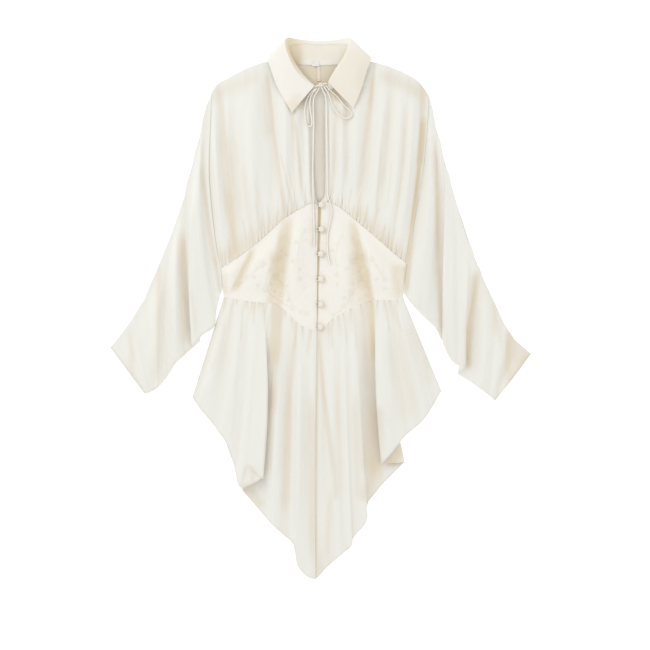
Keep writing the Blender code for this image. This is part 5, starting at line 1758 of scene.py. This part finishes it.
def neck_knot():
    """The bow's knot: the tie passing through it, and its wraps round the middle."""
    band = np.array(KNOT_ROUTE, float) * MM
    along = unit(band[-1] - band[0])
    aside = unit(np.cross(along, (0, 0, 1)))
    up = np.cross(aside, along)
    wraps = []
    for share in np.linspace(0, 1, KNOT_STEPS + 1):
        turn = math.tau * KNOT_TURNS * share
        ring = aside * math.cos(turn) + up * math.sin(turn)
        place = along * (share - 0.5) * KNOT_WIDTH + ring * KNOT_RADIUS
        wraps.append((np.array(KNOT_MIDDLE) + place) * MM)
    piece = cord_curve("tie_knot_rouleau", [band, wraps], sizes().tie_diameter / 2)
    take_place(piece, "tie_knot", "rouleau")


def in_studio(name, data):
    """A new object of the studio."""
    made = bpy.data.objects.new(name, data)
    bpy.context.scene.collection.objects.link(made)
    return made


def camera():
    """A camera straight above the shirt, with the photograph's frame."""
    data = bpy.data.cameras.new("studio_camera")
    data.sensor_width = CAMERA_SENSOR
    data.lens = CAMERA_LENS
    data.clip_end = 50.0
    made = in_studio("studio_camera", data)
    made.location = CAMERA_PLACE
    bpy.context.scene.camera = made


def floor(glow):
    """The white surface that the shirt lies on, bright enough to lose most shadows."""
    data = bpy.data.meshes.new("studio_floor")
    bm = bmesh.new()
    bmesh.ops.create_grid(bm, x_segments=8, y_segments=8, size=FLOOR_SIZE)
    bmesh.ops.translate(bm, vec=(0, 0, FLOOR_Z), verts=bm.verts)
    bm.to_mesh(data)
    bm.free()
    paper = bpy.data.materials.new("studio_paper")
    paper.use_nodes = True
    shader = paper.node_tree.nodes["Principled BSDF"].inputs
    shader["Base Color"].default_value = PAPER
    shader["Roughness"].default_value = 0.95
    shader["Specular IOR Level"].default_value = 0.0
    shader["Emission Color"].default_value = WHITE
    shader["Emission Strength"].default_value = glow
    data.materials.append(paper)
    in_studio("studio_floor", data)


def soft_light(name, place, size, colour, power):
    """A large soft lamp that points at the middle of the shirt and stays out of the picture."""
    data = bpy.data.lights.new(name, "AREA")
    data.shape = "SQUARE"
    data.size = size
    data.energy = power
    data.color = colour
    made = in_studio(name, data)
    made.location = place
    made.rotation_euler = (-Vector(place)).to_track_quat("-Z", "Y").to_euler()
    made.visible_camera = False


def studio():
    """The camera, the floor, the two lamps and the even light all round."""
    given = bpy.context.scene.shirt_stage
    camera()
    floor(given.floor_glow)
    soft_light(*KEY_LIGHT, given.key_power)
    soft_light(*FILL_LIGHT, given.fill_power)
    world = bpy.data.worlds.new("studio_world")
    world.use_nodes = True
    background = world.node_tree.nodes["Background"].inputs
    background["Color"].default_value = WHITE
    background["Strength"].default_value = given.world_light
    bpy.context.scene.world = world
    bpy.context.scene.view_settings.view_transform = "Standard"


def size_setting(name, description, default, low, high):
    """A length in the sidebar, in metres."""
    return bpy.props.FloatProperty(
        name=name, description=description, default=default, min=low, max=high,
        subtype="DISTANCE", unit="LENGTH",
    )


def colour_setting(name, description, default):
    """A colour in the sidebar."""
    return bpy.props.FloatVectorProperty(
        name=name, description=description, default=default, min=0.0, max=1.0, subtype="COLOR",
    )


class ShirtCloth(bpy.types.PropertyGroup):
    """The cloths' thicknesses and colours."""

    thickness: size_setting("Cloth", "Thickness of the crepe and the satin", 0.0008, 0.0003, 0.0016)
    collar_thickness: size_setting("Collar", "Thickness of the collar's fall", 0.0016, 0.0008, 0.0024)
    stand_thickness: size_setting("Stand", "Thickness of the collar's stand", 0.0012, 0.0008, 0.002)
    tie_diameter: size_setting("Tie", "Diameter of the neck ties", 0.0027, 0.002, 0.004)
    ivory: colour_setting("Ivory", "The crepe where it lies in the light", (0.895, 0.89, 0.83))
    # The fold and valley colours are painted shade that the shade mark mixes in; the valley colour also
    # stands in for the deeper tone where sheer layers gather
    ivory_fold_shade: colour_setting("Ivory in folds", "The crepe where it folds", (0.83, 0.765, 0.66))
    ivory_deep_shade: colour_setting(
        "Ivory in valleys", "The crepe where its layers gather in the deepest folds",
        (0.77, 0.665, 0.465),
    )
    cream: colour_setting("Cream", "The satin where it lies in the light", (0.935, 0.905, 0.835))
    # The satin's fold and valley colours are painted shade, as for the crepe
    cream_fold_shade: colour_setting("Cream in folds", "The satin where it folds", (0.875, 0.81, 0.69))
    cream_deep_shade: colour_setting(
        "Cream in valleys", "The satin where it gathers in the deepest folds", (0.75, 0.64, 0.445),
    )
    tape: colour_setting("Tape", "The blank label's tape", (0.92, 0.92, 0.90))


class ShirtStage(bpy.types.PropertyGroup):
    """The studio's lights and its floor."""

    key_power: bpy.props.FloatProperty(
        name="Key light", description="Power of the main soft light",
        default=23.0, min=0.0, unit="POWER",
    )
    fill_power: bpy.props.FloatProperty(
        name="Fill light", description="Power of the soft light across from it",
        default=12.0, min=0.0, unit="POWER",
    )
    world_light: bpy.props.FloatProperty(
        name="Room light", description="Strength of the even light all round",
        default=0.83, min=0.0, max=4.0, subtype="FACTOR",
    )
    floor_glow: bpy.props.FloatProperty(
        name="Floor glow", description="How much of its brightness the floor keeps in shadow",
        default=0.75, min=0.0, max=4.0, subtype="FACTOR",
    )


class SHIRT_OT_stage(bpy.types.Operator):
    """Set up the camera, the soft lights and the white floor"""

    bl_idname = "shirt.stage"
    bl_label = "Studio"

    def execute(self, context):
        studio()
        return {"FINISHED"}


class SHIRT_OT_neck_ties(bpy.types.Operator):
    """Tie the rouleau bow at the neck: its knot, two loops and two tails"""

    bl_idname = "shirt.neck_ties"
    bl_label = "Neck ties"

    def execute(self, context):
        tie("tie_loop_right", TIE_LOOP_RIGHT)
        tie("tie_loop_left", TIE_LOOP_LEFT)
        tie("tie_tail_right", TIE_TAIL_RIGHT)
        tie("tie_tail_left", TIE_TAIL_LEFT)
        neck_knot()
        return {"FINISHED"}


class SHIRT_OT_bodice(bpy.types.Operator):
    """Lay out the bodice's back and its two gathered fronts"""

    bl_idname = "shirt.bodice"
    bl_label = "Bodice"

    def execute(self, context):
        bodice_back()
        bodice_front("bodice_front_right", BODICE_RIGHT, ARMHOLE_RIGHT, WAIST_SEAM_RIGHT, -1)
        bodice_front("bodice_front_left", BODICE_LEFT, ARMHOLE_LEFT, WAIST_SEAM_LEFT, 1)
        return {"FINISHED"}


class SHIRT_OT_sleeves(bpy.types.Operator):
    """Lay out the batwing sleeves, each a front on a back"""

    bl_idname = "shirt.sleeves"
    bl_label = "Sleeves"

    def execute(self, context):
        sleeve_back("sleeve_back_right", SLEEVE_RIGHT, ARMHOLE_RIGHT)
        sleeve_back("sleeve_back_left", SLEEVE_LEFT, ARMHOLE_LEFT)
        sleeve_front("sleeve_front_right", SLEEVE_RIGHT, ARMHOLE_RIGHT, -1)
        sleeve_front("sleeve_front_left", SLEEVE_LEFT, ARMHOLE_LEFT, 1)
        return {"FINISHED"}


class SHIRT_OT_waist_panel(bpy.types.Operator):
    """Lay out the figured waist panel with its raised flowers"""

    bl_idname = "shirt.waist_panel"
    bl_label = "Waist panel"

    def execute(self, context):
        waist_back()
        waist_front("waist_front_right", WAIST_RIGHT, WAIST_SEAM_RIGHT, SKIRT_SEAM_RIGHT, -1)
        waist_front("waist_front_left", WAIST_LEFT, WAIST_SEAM_LEFT, SKIRT_SEAM_LEFT, 1)
        return {"FINISHED"}


class SHIRT_OT_skirt(bpy.types.Operator):
    """Lay out the skirt with its deep folds and handkerchief hem"""

    bl_idname = "shirt.skirt"
    bl_label = "Skirt"

    def execute(self, context):
        skirt_back()
        skirt_front("skirt_front_right", SKIRT_RIGHT, SKIRT_SEAM_RIGHT, -1)
        skirt_front("skirt_front_left", SKIRT_LEFT, SKIRT_SEAM_LEFT, 1)
        return {"FINISHED"}


class SHIRT_OT_collar(bpy.types.Operator):
    """Fold the collar: its stand, its fall, and the blank label and tab inside the neck"""

    bl_idname = "shirt.collar"
    bl_label = "Collar"

    def execute(self, context):
        collar_stand()
        collar_fall()
        tape("neck_label", NECK_LABEL)
        tape("size_tab", SIZE_TAB)
        return {"FINISHED"}


class SHIRT_OT_buttons(bpy.types.Operator):
    """Sew on the six covered buttons and their rouleau loops"""

    bl_idname = "shirt.buttons"
    bl_label = "Buttons"

    def execute(self, context):
        for number, row in enumerate(BUTTONS, start=1):
            covered_button(number, row)
            button_loop(number, row)
        return {"FINISHED"}


class SHIRT_PT_pieces(bpy.types.Panel):
    """The shirt's pieces and settings in the 3D view's sidebar"""

    bl_idname = "SHIRT_PT_pieces"
    bl_label = "Batwing Shirt"
    bl_space_type = "VIEW_3D"
    bl_region_type = "UI"
    bl_category = "Shirt"

    def draw(self, context):
        layout = self.layout
        for settings in (context.scene.shirt_cloth, context.scene.shirt_stage):
            box = layout.box()
            for name in settings.__annotations__:
                box.prop(settings, name)
        for operator in PIECES:
            layout.operator(operator.bl_idname)


# The operators in the order that they run: the camera and the cords come first
PIECES = (
    SHIRT_OT_stage, SHIRT_OT_neck_ties, SHIRT_OT_bodice, SHIRT_OT_sleeves,
    SHIRT_OT_waist_panel, SHIRT_OT_skirt, SHIRT_OT_collar, SHIRT_OT_buttons,
)
CLASSES = (ShirtCloth, ShirtStage) + PIECES + (SHIRT_PT_pieces,)


def register():
    """Registers the classes, and gives the scene its settings."""
    for made in CLASSES:
        bpy.utils.register_class(made)
    bpy.types.Scene.shirt_cloth = bpy.props.PointerProperty(type=ShirtCloth)
    bpy.types.Scene.shirt_stage = bpy.props.PointerProperty(type=ShirtStage)


def unregister():
    """Takes the settings and the classes away again."""
    del bpy.types.Scene.shirt_stage
    del bpy.types.Scene.shirt_cloth
    for made in reversed(CLASSES):
        bpy.utils.unregister_class(made)


def main():
    """Makes the shirt and its studio."""
    register()
    bpy.ops.shirt.stage()
    bpy.ops.shirt.neck_ties()
    bpy.ops.shirt.bodice()
    bpy.ops.shirt.sleeves()
    bpy.ops.shirt.waist_panel()
    bpy.ops.shirt.skirt()
    bpy.ops.shirt.collar()
    bpy.ops.shirt.buttons()


if __name__ == "__main__":
    main()
